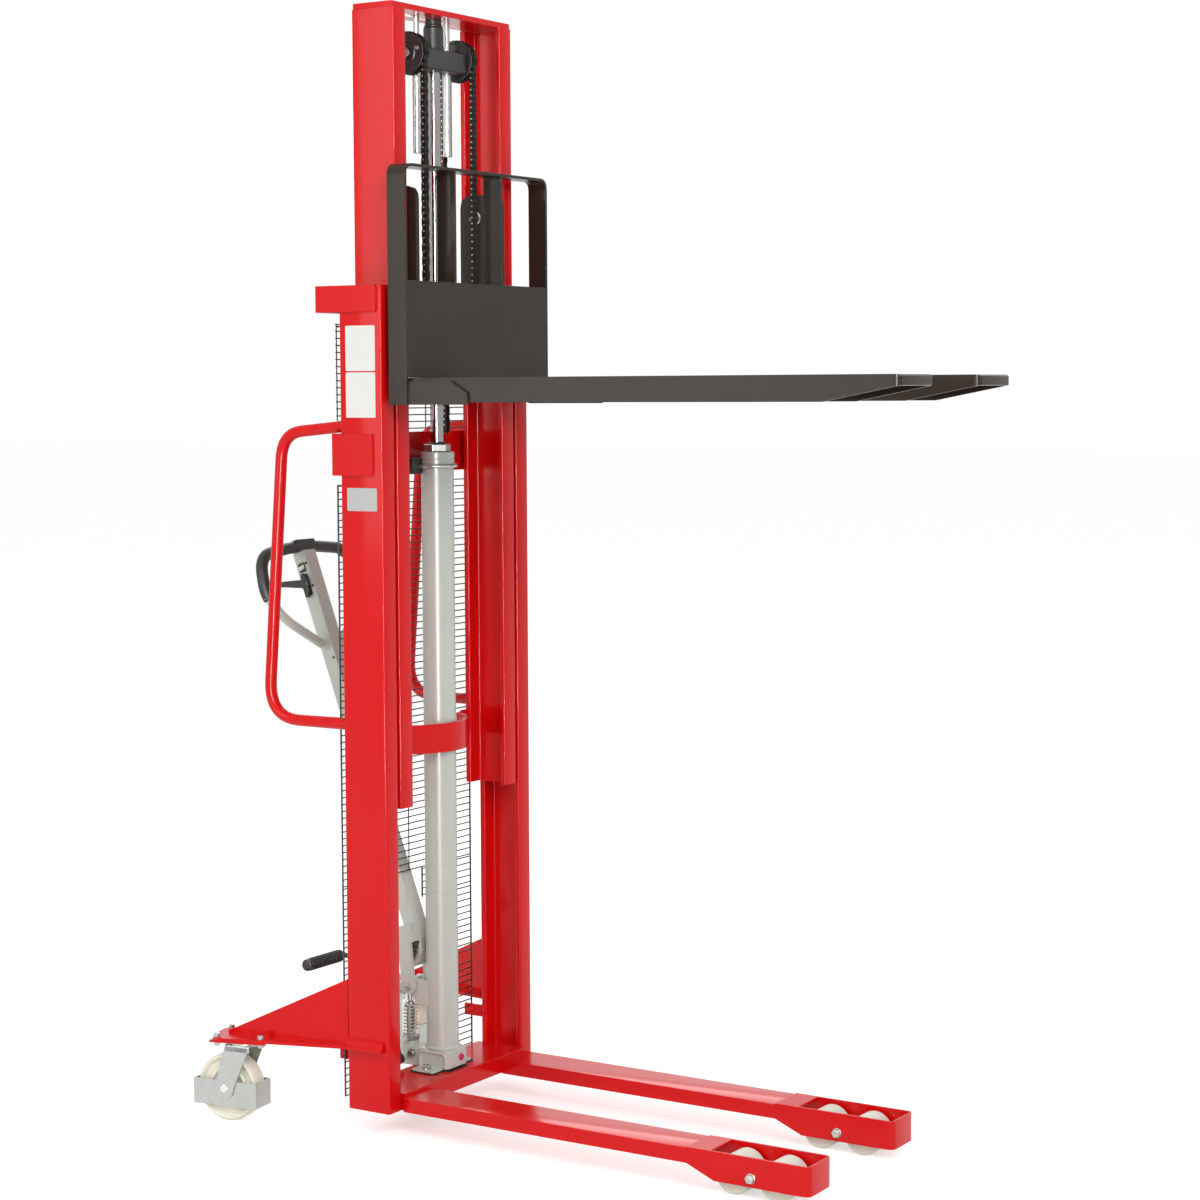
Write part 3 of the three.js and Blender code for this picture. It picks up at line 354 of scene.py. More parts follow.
def ground_chrome(name):
    """Hard chrome with faint grinding rings round an upright bar."""
    # The chrome's colour is kept darker than bare chrome: painted reflection, standing for the dark
    # surroundings that the bar mirrors.
    chrome = Finish(name, (150, 150, 151), 0.09, 1.0)
    rings = chrome.noise(700, 1, chrome.stretched((0.1, 0.1, 1)))
    chrome.set("Base Color", chrome.shade(0.03, rings))
    chrome.set("Roughness", chrome.spread(rings, 0.07, 0.13))
    return chrome.material


def moulded(name, colour, roughness, mottle, depth):
    """Plastic or rubber with a fine grain."""
    plastic = Finish(name, colour, roughness)
    matt = (roughness * 0.88, roughness * 1.12)
    plastic.surface(mottle, (30, 4), matt, wear=(90, 3), grain=(650, 2), relief=depth)
    return plastic.material


def turned_nylon(name, colour):
    """Pale nylon, slightly mottled, with a little light passing into it."""
    nylon = Finish(name, colour, 0.42)
    ivory = (1.0, 0.99, 0.96)
    nylon.surface(0.035, (18, 3), (0.34, 0.5), wear=(120, 3), grain=(300, 2), relief=0.00005, tint=ivory)
    nylon.set("Subsurface Weight", 0.08)
    nylon.set("Subsurface Scale", 0.004)
    return nylon.material


def oiled_steel(name, colour, roughness):
    """Steel with a patchy film of oil."""
    steel = Finish(name, colour, roughness, 0.85)
    film = (roughness * 0.7, roughness * 1.3)
    steel.surface(0.35, (160, 4), film, wear=(420, 3), grain=(900, 2), relief=0.00003)
    return steel.material


def bare_foil(name, colour):
    """The blank face of a stuck-on strip."""
    foil = Finish(name, colour, 0.38)
    foil.surface(0.02, (14, 3), (0.3, 0.46), wear=(60, 3), grain=(500, 1), relief=0.00002)
    return foil.material


red_paint = powder_coat("red_paint", (219, 11, 14), 0.22, 0.1, 0.22)
carriage_paint = powder_coat("carriage_paint", (55, 46, 39), 0.3, 0.08, 0.2, cloud=0.14)
grey_paint = machine_paint("grey_paint", (198, 206, 197), 0.3)
black_paint = machine_paint("black_paint", (42, 40, 40), 0.42)
zinc_plate = plated("zinc_plate", (176, 179, 176), 0.3, (1, 1, 0.08))
bright_zinc = plated("bright_zinc", (214, 216, 214), 0.2)
chrome_plate = ground_chrome("chrome_plate")
cream_nylon = turned_nylon("cream_nylon", (247, 243, 224))
white_nylon = turned_nylon("white_nylon", (226, 226, 212))
grip_rubber = moulded("grip_rubber", (38, 36, 36), 0.5, 0.08, 0.00006)
black_plastic = moulded("black_plastic", (30, 30, 31), 0.42, 0.08, 0.00006)
chain_steel = oiled_steel("chain_steel", (52, 49, 46), 0.4)
chain_pin_steel = oiled_steel("chain_pin_steel", (206, 202, 194), 0.26)
spring_steel = plated("spring_steel", (214, 211, 200), 0.2)
plug_red = moulded("plug_red", (205, 30, 92), 0.4, 0.05, 0.00004)
blank_label = bare_foil("blank_label", (228, 227, 223))
blank_plate = bare_foil("blank_plate", (186, 187, 186))


# ------------------------------------------------------------ making pieces
def rounded(corners, steps=6):
    """Corner points (a, b) or (a, b, radius) as an outline with its corners rounded."""
    points = []
    for i, corner in enumerate(corners):
        here = Vector(corner[:2])
        radius = corner[2] if len(corner) > 2 else 0
        if not radius:
            points.append(here)
            continue
        before = Vector(corners[i - 1][:2]) - here
        after = Vector(corners[(i + 1) % len(corners)][:2]) - here
        enter = here + before.normalized() * radius
        leave = here + after.normalized() * radius
        for k in range(steps + 1):
            t = k / steps
            points.append(enter * (1 - t) ** 2 + here * 2 * t * (1 - t) + leave * t ** 2)
    return points


def smooth_path(points, steps=10):
    """Points (x, y, z) or (x, y, z, bend) as a path with rounded bends."""
    path = [Vector(points[0][:3])]
    for before, here, after in zip(points, points[1:], points[2:]):
        bend = here[3] if len(here) > 3 else 0
        corner = Vector(here[:3])
        if not bend:
            path.append(corner)
            continue
        enter = corner + (Vector(before[:3]) - corner).normalized() * bend
        leave = corner + (Vector(after[:3]) - corner).normalized() * bend
        for k in range(steps + 1):
            t = k / steps
            path.append(enter * (1 - t) ** 2 + corner * 2 * t * (1 - t) + leave * t ** 2)
    path.append(Vector(points[-1][:3]))
    return path


PLANES = {
    "xy": lambda a, b, c: (a, b, c),
    "xz": lambda a, b, c: (a, c, b),
    "yz": lambda a, b, c: (c, a, b),
}


def both_faces(width, face):
    """A closed lathe profile, alike on both faces of a wheel, from the points of one face."""
    return [*face, *((width - along, radius) for along, radius in reversed(face)), face[0]]


class Blank:
    """A piece while it is being made."""

    def __init__(self):
        self.bm = bmesh.new()

    def ring(self, points):
        return [self.bm.verts.new(point) for point in points]

    def skin(self, lower, upper):
        """The faces between two rings of as many points."""
        for i in range(len(lower)):
            j = (i + 1) % len(lower)
            self.bm.faces.new((lower[i], lower[j], upper[j], upper[i]))

    def prism(self, plane, corners, start, end, steps=6):
        """An outline in one plane, run from start to end along the third axis."""
        place = PLANES[plane]
        outline = rounded(corners, steps)
        lower = self.ring([place(a, b, start) for a, b in outline])
        upper = self.ring([place(a, b, end) for a, b in outline])
        self.skin(lower, upper)
        self.bm.faces.new(lower)
        self.bm.faces.new(upper)
        return self

    def block(self, xs, ys, zs):
        corners = [(xs[0], ys[0]), (xs[1], ys[0]), (xs[1], ys[1]), (xs[0], ys[1])]
        return self.prism("xy", corners, *zs)

    def swept(self, path, radius, sides=24):
        """A round bar along a path, with flat ends; radius is one number or one for each point."""
        path = [Vector(point) for point in path]
        radii = [radius] * len(path) if isinstance(radius, (int, float)) else radius
        tangents = [(path[min(i + 1, len(path) - 1)] - path[max(i - 1, 0)]).normalized()
                    for i in range(len(path))]
        side = tangents[0].orthogonal().normalized()
        rings = []
        for point, along, size in zip(path, tangents, radii):
            side = (side - along * side.dot(along)).normalized()
            across = along.cross(side)
            rings.append(self.ring([
                point + (side * math.cos(turn) + across * math.sin(turn)) * size
                for turn in (2 * math.pi * k / sides for k in range(sides))]))
        for lower, upper in zip(rings, rings[1:]):
            self.skin(lower, upper)
        self.bm.faces.new(rings[0])
        self.bm.faces.new(rings[-1])
        return self

    def turned(self, centre, axis, profile, sides=48):
        """A shape turned on a lathe: profile holds (along the axis, radius) from one end to the other."""
        axis = Vector(axis).normalized()
        side = axis.orthogonal().normalized()
        across = axis.cross(side)
        rings = []
        for along, radius in profile:
            middle = Vector(centre) + axis * along
            rings.append(self.ring([
                middle + (side * math.cos(turn) + across * math.sin(turn)) * radius
                for turn in (2 * math.pi * k / sides for k in range(sides))]))
        for lower, upper in zip(rings, rings[1:]):
            self.skin(lower, upper)
        if profile[0] == profile[-1]:
            return self
        self.bm.faces.new(rings[0])
        self.bm.faces.new(rings[-1])
        return self

    def rod(self, start, end, radius, sides=32, chamfer=0):
        """A round bar between two points, with chamfered ends."""
        run = Vector(end) - Vector(start)
        profile = [(0, radius), (run.length, radius)]
        if chamfer:
            profile = [(0, radius - chamfer), (chamfer, radius),
                       (run.length - chamfer, radius), (run.length, radius - chamfer)]
        return self.turned(start, run, profile, sides)

    def tube(self, start, end, radius, bore, sides=48, chamfer=1):
        """A round bar with a hole through it, its outer ends chamfered."""
        length = (Vector(end) - Vector(start)).length
        profile = [(0, bore), (0, radius - chamfer), (chamfer, radius), (length - chamfer, radius),
                   (length, radius - chamfer), (length, bore), (0, bore)]
        return self.turned(start, Vector(end) - Vector(start), profile, sides)

    def turn(self, matrix):
        bmesh.ops.transform(self.bm, matrix=matrix, verts=self.bm.verts)
        return self

    def finish(self, name, material, body, slot, stands_for=(), edge=0.0):
        """The finished piece, on its body, with its edges broken by a small round."""
        bmesh.ops.remove_doubles(self.bm, verts=self.bm.verts, dist=SAME_POINT_MM)
        bmesh.ops.recalc_face_normals(self.bm, faces=self.bm.faces)
        mesh = bpy.data.meshes.new(name)
        self.bm.to_mesh(mesh)
        self.bm.free()
        mesh.transform(TO_MODEL)
        return fitted(name, mesh, material, body, stands_for, edge)


def fitted(name, mesh, material, body, stands_for=(), edge=0.0):
    """A mesh in the model's frame as a piece on its body."""
    if material:
        mesh.materials.clear()
        mesh.materials.append(material)
    mesh.shade_smooth()
    mesh.set_sharp_from_angle(angle=SHARP_ANGLE)
    piece = placed(name, mesh)
    if edge:
        soften(piece, edge)
    if body:
        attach(piece, body)
    if stands_for:
        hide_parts(*stands_for)
    return piece


def soften(piece, edge):
    """Breaks a piece's sharp edges by a small round."""
    bevel = piece.modifiers.new("broken_edges", "BEVEL")
    bevel.width = edge * MM
    bevel.segments = 2
    bevel.limit_method = "ANGLE"
    bevel.angle_limit = BROKEN_EDGE_ANGLE
    bevel.use_clamp_overlap = True
    bevel.harden_normals = True


def mirrored(side):
    """Turns a shape made for the left side into the one for that side."""
    return Matrix.Scale(-1, 4, (0, 1, 0)) if side < 0 else Matrix.Identity(4)


def refined(node, material, edge=1.0):
    """A merged copy of a CAD node with broken edges and smooth round faces, which stands for it."""
    mesh = frame["nodes"][node].data.copy()
    bm = bmesh.new()
    bm.from_mesh(mesh)
    bmesh.ops.remove_doubles(bm, verts=bm.verts, dist=SAME_POINT_M)
    bmesh.ops.dissolve_limit(bm, angle_limit=FLAT_ANGLE, verts=bm.verts, edges=bm.edges)
    bm.to_mesh(mesh)
    bm.free()
    body = frame["nodes"][node]["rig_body"]
    return fitted(node + "_finished", mesh, material, body, (node,), edge)


# ------------------------------------------------------------ repeated pieces, as geometry nodes
class Pattern:
    """A tree of geometry nodes with named sizes, used on a guide mesh and then turned into a plain mesh."""

    def __init__(self, name, material, sizes):
        self.tree = bpy.data.node_groups.new(name, "GeometryNodeTree")
        self.tree.interface.new_socket("Guide", in_out="INPUT", socket_type="NodeSocketGeometry")
        for size, kind in sizes.items():
            self.tree.interface.new_socket(size, in_out="INPUT", socket_type="NodeSocket" + kind)
        self.tree.interface.new_socket("Pieces", in_out="OUTPUT", socket_type="NodeSocketGeometry")
        self.inlet = self.tree.nodes.new("NodeGroupInput")
        self.material = material

    def node(self, kind, values=None, **settings):
        """A node with its settings, whose sockets take a number, another node's output or a named size."""
        node = self.tree.nodes.new(kind)
        for name, value in settings.items():
            setattr(node, name, value)
        for socket, value in (values or {}).items():
            target = node.inputs[socket]
            if isinstance(value, str) and value in self.inlet.outputs:
                self.tree.links.new(self.inlet.outputs[value], target)
            elif isinstance(value, bpy.types.NodeSocket):
                self.tree.links.new(value, target)
            elif isinstance(value, bpy.types.Node):
                self.tree.links.new(value.outputs[0], target)
            else:
                target.default_value = value
        return node

    def sum(self, a, b, operation="ADD"):
        """Two sizes or numbers worked together, by adding them unless another way is named."""
        return self.node("ShaderNodeMath", {0: a, 1: b}, operation=operation).outputs[0]

    def close(self, *pieces):
        """Joins the pieces, makes them real and gives them their material."""
        together = self.node("GeometryNodeJoinGeometry")
        for piece in pieces:
            self.tree.links.new(piece.outputs[0], together.inputs[0])
        real = self.node("GeometryNodeRealizeInstances", {"Geometry": together})
        coated = self.node("GeometryNodeSetMaterial", {"Geometry": real, "Material": self.material})
        out = self.tree.nodes.new("NodeGroupOutput")
        self.tree.links.new(coated.outputs[0], out.inputs[0])
        return self

    def grow(self, guide, **sizes):
        """A plain mesh of the repeated pieces on a guide in millimetres, in the model's frame."""
        carrier = placed("guide", guide)
        modifier = carrier.modifiers.new("repeat", "NODES")
        modifier.node_group = self.tree
        wanted = {name.replace("_", " "): value for name, value in sizes.items()}
        for item in self.tree.interface.items_tree:
            if item.in_out == "INPUT" and item.name.lower() in wanted:
                modifier[item.identifier] = wanted[item.name.lower()]
        depsgraph = bpy.context.evaluated_depsgraph_get()
        mesh = bpy.data.meshes.new_from_object(carrier.evaluated_get(depsgraph))
        carrier.modifiers.clear()
        bpy.data.objects.remove(carrier)
        mesh.transform(TO_MODEL)
        return mesh


def guide_points(places, aims):
    """Loose points with the direction that each repeated piece faces."""
    mesh = bpy.data.meshes.new("guide")
    mesh.from_pydata([tuple(place) for place in places], [], [])
    aim = mesh.attributes.new("aim", "FLOAT_VECTOR", "POINT")
    aim.data.foreach_set("vector", [part for direction in aims for part in direction])
    return mesh


def guide_path(points):
    """An open line through points."""
    mesh = bpy.data.meshes.new("guide")
    edges = [(i, i + 1) for i in range(len(points) - 1)]
    mesh.from_pydata([tuple(point) for point in points], edges, [])
    return mesh


# a hexagon head's parts, as shares of its width across flats, and its crown's height of the head's
CORNER_RADIUS = 0.577
CROWN_TOP = 0.36
CROWN_FOOT = 0.47
CROWN_HEIGHT = 0.12
ROUND_SIDES = 20


def bolt_pattern(name, material):
    """Hexagon heads with a washer under each, on points."""
    pattern = Pattern(name, material, {
        "Across": "Float", "Head": "Float", "Washer": "Float", "Washer thickness": "Float"})
    washer = pattern.node("GeometryNodeMeshCylinder", {
        "Vertices": ROUND_SIDES, "Radius": "Washer", "Depth": "Washer thickness"})
    washer_set = pattern.node("GeometryNodeTransform", {
        "Geometry": washer, "Translation": pattern.node("ShaderNodeCombineXYZ", {
            "Z": pattern.sum("Washer thickness", 0.5, "MULTIPLY")})})
    head = pattern.node("GeometryNodeMeshCylinder", {
        "Vertices": 6, "Radius": pattern.sum("Across", CORNER_RADIUS, "MULTIPLY"), "Depth": "Head"})
    head_set = pattern.node("GeometryNodeTransform", {
        "Geometry": head, "Translation": pattern.node("ShaderNodeCombineXYZ", {
            "Z": pattern.sum("Washer thickness", pattern.sum("Head", 0.5, "MULTIPLY"))})})
    crown = pattern.node("GeometryNodeMeshCone", {
        "Vertices": ROUND_SIDES, "Radius Top": pattern.sum("Across", CROWN_TOP, "MULTIPLY"),
        "Radius Bottom": pattern.sum("Across", CROWN_FOOT, "MULTIPLY"),
        "Depth": pattern.sum("Head", CROWN_HEIGHT, "MULTIPLY")})
    crown_set = pattern.node("GeometryNodeTransform", {
        "Geometry": crown, "Translation": pattern.node("ShaderNodeCombineXYZ", {
            "Z": pattern.sum("Washer thickness", "Head")})})
    bolt = pattern.node("GeometryNodeJoinGeometry")
    for part in (washer_set, head_set, crown_set):
        pattern.tree.links.new(part.outputs[0], bolt.inputs[0])
    aim = pattern.node("GeometryNodeInputNamedAttribute", {"Name": "aim"}, data_type="FLOAT_VECTOR")
    facing = pattern.node("FunctionNodeAlignRotationToVector", {"Vector": aim}, axis="Z")
    set_out = pattern.node("GeometryNodeInstanceOnPoints", {
        "Points": "Guide", "Instance": bolt, "Rotation": facing})
    return pattern.close(set_out)


def spaced_points(pattern):
    """Points along the guide, one chain pitch apart."""
    curve = pattern.node("GeometryNodeMeshToCurve", {"Mesh": "Guide"})
    spaced = pattern.node("GeometryNodeResampleCurve", {"Curve": curve, "Length": "Pitch"}, mode="LENGTH")
    return pattern.node("GeometryNodeCurveToPoints", {"Curve": spaced}, mode="EVALUATED")


def link_pattern(name, material, odd):
    """Every second place of a path, a pitch apart, carries one kind of chain link."""
    pattern = Pattern(name, material, {"Pitch": "Float", "Link": "Object"})
    points = spaced_points(pattern)
    facing = pattern.node("FunctionNodeAlignRotationToVector", {
        "Vector": points.outputs["Tangent"]}, axis="Z", pivot_axis="Y")
    index = pattern.node("GeometryNodeInputIndex")
    parity = pattern.node("ShaderNodeMath", {0: index, 1: 2.0}, operation="MODULO")
    chosen = pattern.node("FunctionNodeCompare", {0: parity, 1: 0.5}, data_type="FLOAT",
                          operation="GREATER_THAN" if odd else "LESS_THAN")
    link = pattern.node("GeometryNodeObjectInfo", {"Object": "Link"})
    set_out = pattern.node("GeometryNodeInstanceOnPoints", {
        "Points": points, "Instance": link.outputs["Geometry"], "Rotation": facing,
        "Selection": chosen})
    return pattern.close(set_out)


def pin_pattern(name, material):
    """Every place of a path, a pitch apart, carries a pin."""
    pattern = Pattern(name, material, {"Pitch": "Float", "Link": "Object"})
    points = spaced_points(pattern)
    pin = pattern.node("GeometryNodeObjectInfo", {"Object": "Link"})
    set_out = pattern.node("GeometryNodeInstanceOnPoints", {
        "Points": points, "Instance": pin.outputs["Geometry"]})
    return pattern.close(set_out)


def wire_pattern(name, material):
    """A welded panel of crossing wires, from its lower corner."""
    pattern = Pattern(name, material, {
        "Width": "Float", "Height": "Float", "Columns": "Int", "Rows": "Int", "Wire": "Float"})
    rise = pattern.node("ShaderNodeCombineXYZ", {"Z": "Height"})
    reach = pattern.node("ShaderNodeCombineXYZ", {"Y": "Width"})
    section = pattern.node("GeometryNodeCurvePrimitiveCircle", {"Resolution": 6, "Radius": "Wire"})
    sets = []
    for count, span, run, back in (("Columns", "Width", rise, "Y"), ("Rows", "Height", reach, "Z")):
        wire = pattern.node("GeometryNodeCurvePrimitiveLine", {"End": run})
        bar = pattern.node("GeometryNodeCurveToMesh", {
            "Curve": wire, "Profile Curve": section, "Fill Caps": True})
        gaps = pattern.sum(count, 1.0, "SUBTRACT")
        step = pattern.node("ShaderNodeCombineXYZ", {back: pattern.sum(span, gaps, "DIVIDE")})
        places = pattern.node("GeometryNodeMeshLine", {"Count": count, "Offset": step}, mode="OFFSET")
        moved = pattern.node("GeometryNodeInstanceOnPoints", {"Points": places, "Instance": bar})
        behind = pattern.node("ShaderNodeCombineXYZ", {
            "X": pattern.sum("Wire", 0.75 if back == "Y" else -0.75, "MULTIPLY")})
        sets.append(pattern.node("GeometryNodeTransform", {"Geometry": moved, "Translation": behind}))
    return pattern.close(*sets)


def coil_pattern(name, material):
    """A wound spring standing on the origin."""
    pattern = Pattern(name, material, {
        "Turns": "Float", "Radius": "Float", "Rise": "Float", "Wire": "Float"})
    spiral = pattern.node("GeometryNodeCurveSpiral", {
        "Resolution": 26, "Rotations": "Turns", "Start Radius": "Radius", "End Radius": "Radius",
        "Height": "Rise"})
    section = pattern.node("GeometryNodeCurvePrimitiveCircle", {"Resolution": 12, "Radius": "Wire"})
    wound = pattern.node("GeometryNodeCurveToMesh", {
        "Curve": spiral, "Profile Curve": section, "Fill Caps": True})
    return pattern.close(wound)


def rib_pattern(name, material):
    """Raised rings along a straight grip."""
    pattern = Pattern(name, material, {"Spacing": "Float", "Radius": "Float", "Rib": "Float"})
    curve = pattern.node("GeometryNodeMeshToCurve", {"Mesh": "Guide"})
    points = pattern.node("GeometryNodeCurveToPoints", {
        "Curve": curve, "Length": "Spacing"}, mode="LENGTH")
    facing = pattern.node("FunctionNodeAlignRotationToVector", {
        "Vector": points.outputs["Tangent"]}, axis="Z")
    hoop = pattern.node("GeometryNodeCurvePrimitiveCircle", {"Resolution": 28, "Radius": "Radius"})
    section = pattern.node("GeometryNodeCurvePrimitiveCircle", {"Resolution": 8, "Radius": "Rib"})
    rib = pattern.node("GeometryNodeCurveToMesh", {"Curve": hoop, "Profile Curve": section})
    set_out = pattern.node("GeometryNodeInstanceOnPoints", {
        "Points": points, "Instance": rib, "Rotation": facing})
    return pattern.close(set_out)


# ------------------------------------------------------------ red frame
def weld_bead(blank, start, end, radius=2.6):
    """A run of overlapping weld ripples."""
    start, end = Vector(start), Vector(end)
    count = max(3, round((end - start).length / (radius * 1.1)))
    path = [start.lerp(end, i / (2 * count)) for i in range(2 * count + 1)]
    radii = [radius * (1.0 if i % 2 else 0.78) for i in range(len(path))]
    radii[0] = radii[-1] = radius * 0.5
    return blank.swept(path, radii, 10)


def plate_below(piece, level, measured):
    """Gives the faces whose highest or lowest corner is below a level their zinc plate."""
    piece.data.materials.append(zinc_plate)
    for face in piece.data.polygons:
        heights = [piece.data.vertices[i].co.z for i in face.vertices]
        if (max(heights) if measured == "highest" else min(heights)) < level:
            face.material_index = 1


def dress_frame():
    """The frame's painted plates and channels; the guide rods and the caster plates are plated."""
    refined("base_plate", red_paint, 1.2)
    for node in ("top_tie", "cylinder_tie", "inner_brace"):
        refined(node, red_paint, 1.0)
    top_bar = refined("inner_top_bar", red_paint, 1.5)
    plate_below(top_bar, TOP_BAR_PAINT_Z * MM, "lowest")
    for side, _ in SIDES:
        refined("outer_mast_" + side, red_paint, 1.0)
        refined("inner_mast_" + side, red_paint, 1.0)
        refined("support_leg_" + side, red_paint, 1.5)
        arm = refined("outrigger_" + side, red_paint, 1.0)
        plate_below(arm, OUTRIGGER_UNDERSIDE_Z * MM + 1e-4, "highest")


def grab_handle(side, sign):
    """A bent tube welded to the back of the mast, with a bead round each end."""
    y, top, bottom = 255, 1532.9, 892
    path = smooth_path([(MAST_BACK_X, y, top), (-284, y, 1517, 55), (-333, y, bottom, 85),
                        (MAST_BACK_X, y, bottom)])
    tube = Blank().swept(path, 13, 40)
    for z in (top - 0.5, bottom):
        tube.turned((MAST_BACK_X, y, z), (-1, 0, 0), [(0, 16.5), (2.2, 15.8), (3.8, 13.6), (4.2, 12)], 32)
    tube.turn(mirrored(sign)).finish("grab_tube_" + side, red_paint, "chassis", "red_paint",
                                     ("grab_handle_" + side,))


def frame_welds(side, sign):
    """Beads round the ties, the outrigger and the inner brace."""
    beads = Blank()
    y = 276.1
    for x, top, bottom in ((-11, 1826, 1778), (-24, 1513, 1432)):
        weld_bead(beads, (x, y, top), (x, y, bottom), 3)
    weld_bead(beads, (-14, 276, 210), (-108, 276, 210), 2.4)
    beads.turn(mirrored(sign)).finish("frame_welds_" + side, red_paint, "chassis", "red_paint")
    brace_weld = Blank()
    weld_bead(brace_weld, (-104, 173, 872), (-104, 173, 816), 3)
    weld_bead(brace_weld, (-107, 150, 877), (-107, 172, 877), 2.4)
    brace_weld.turn(mirrored(sign)).finish("brace_welds_" + side, red_paint, "inner_mast", "red_paint")


def mesh_tab(side, sign):
    """A bent tab behind the mast that holds the edge of the lower wire guard."""
    tab = Blank()
    tab.prism("xy", [(MAST_BACK_X, 252), (MAST_BACK_X, 234, 5), (-162, 234), (-162, 237),
                     (MAST_BACK_X - 3, 237, 3), (MAST_BACK_X - 3, 252)], 149, 177)
    tab.rod((-135, 231.5, 163), (-135, 234.5, 163), 5, 24, 1)
    tab.turn(mirrored(sign)).finish("guard_tab_" + side, red_paint, "chassis", "red_paint", edge=0.6)


def blank_strips():
    """The label strip and the plate on the right mast, both left blank."""
    outer_y, mast_y, corner = -274.5, -274.05, 3
    for name, material, front, bottom, top in (
            ("label_strip_upper", blank_label, -16, 1649.5, 1745),
            ("label_strip_lower", blank_label, -16, 1551, 1646.5),
            ("rating_plate_blank", blank_plate, -15, 1353, 1402)):
        outline = [(x, z, corner) for x, z in ((-94, bottom), (front, bottom), (front, top), (-94, top))]
        Blank().prism("xz", outline, outer_y, mast_y).finish(name, material, "chassis", "red_paint")


# ------------------------------------------------------------ bolts
hex_bolts = bolt_pattern("hex_bolts", zinc_plate)


def bolt_set(name, body, places, aims, across, head, washer, washer_thickness=1.6):
    """Hexagon heads of one size: across flats, their height, and their washer's radius."""
    mesh = hex_bolts.grow(guide_points(places, aims), across=float(across), head=float(head),
                          washer=float(washer), washer_thickness=float(washer_thickness))
    return fitted(name, mesh, None, body, edge=0.35)


def chassis_bolts():
    plate_places = [(-421, 294), (-399, 370), (-300, 340), (-322, 264)]
    places, aims = [], []
    for _, sign in SIDES:
        for x, y in plate_places:
            places += [(x, sign * y, PLATE_TOP_Z), (x, sign * y, PLATE_BOTTOM_Z)]
            aims += [(0, 0, 1), (0, 0, -1)]
    bolt_set("outrigger_bolts", "chassis", places, aims, 13, 6.5, 8)
    foot_places = [(-58, sign * 60, 99.6) for sign in (-1, 1)]
    bolt_set("foot_bolts", "chassis", foot_places, [(0, 0, 1)] * 2, 15, 7, 11)


def rolling_bolts():
    for side, sign in SIDES:
        places = [(BOGIE_X, sign * (LEG_Y + reach), 45) for reach in (BOGIE_BOLT_REACH, -BOGIE_BOLT_REACH)]
        bolt_set("bogie_bolts_" + side, "bogie_" + side, places, [(0, sign, 0), (0, -sign, 0)], 17, 6.5, 10.5)


# ------------------------------------------------------------ wire guards
guard_wires = wire_pattern("guard_wires", black_paint)


def wire_panel(width, height, corner_y, corner_z):
    """A panel of the guard, from its lower corner on the machine's right."""
    guide = bpy.data.meshes.new("guide")
    columns = max(2, round(width / GUARD_COLUMN) + 1)
    rows = round(height / GUARD_ROW) + 1
    mesh = guard_wires.grow(guide, width=float(width), height=float(height), columns=columns,
                            rows=rows, wire=GUARD_WIRE)
    mesh.transform(Matrix.Translation((GUARD_X * MM, corner_y * MM, corner_z * MM)))
    return mesh


def joined(meshes):
    """One mesh of several."""
    bm = bmesh.new()
    for mesh in meshes:
        bm.from_mesh(mesh)
    whole = meshes[0].copy()
    bm.to_mesh(whole)
    bm.free()
    return whole


def wire_guards():
    """The panels behind the mast, the lower one cut out round the pump and the tiller."""
    fitted("guard_wires_upper", wire_panel(480, 226, -240, 1524), None, "chassis",
           ("mesh_guard_upper",))
    panels = [wire_panel(480, 875, -240, 530)]
    for width, height, inner_y, z in ((190, 60, 50, 465), (95, 150, 145, 305), (95, 210, 145, 67)):
        panels += [wire_panel(width, height, -240, z), wire_panel(width, height, inner_y, z)]
    fitted("guard_wires_lower", joined(panels), None, "chassis", ("mesh_guard_lower",))
    frame_bars = Blank()
    for sign in (-1, 1):
        for y, z0, z1 in ((240, 67, 1405), (145, 67, 460), (50, 460, 532)):
            frame_bars.rod((GUARD_X, sign * y, z0), (GUARD_X, sign * y, z1), 1.8, 8)
        for z in (900, 1404, 1525, 1745):
            frame_bars.rod((GUARD_X, sign * 236, z), (-111.4, sign * 236, z), 2, 8)
    frame_bars.finish("guard_edge_wires", black_paint, "chassis", "black_paint")


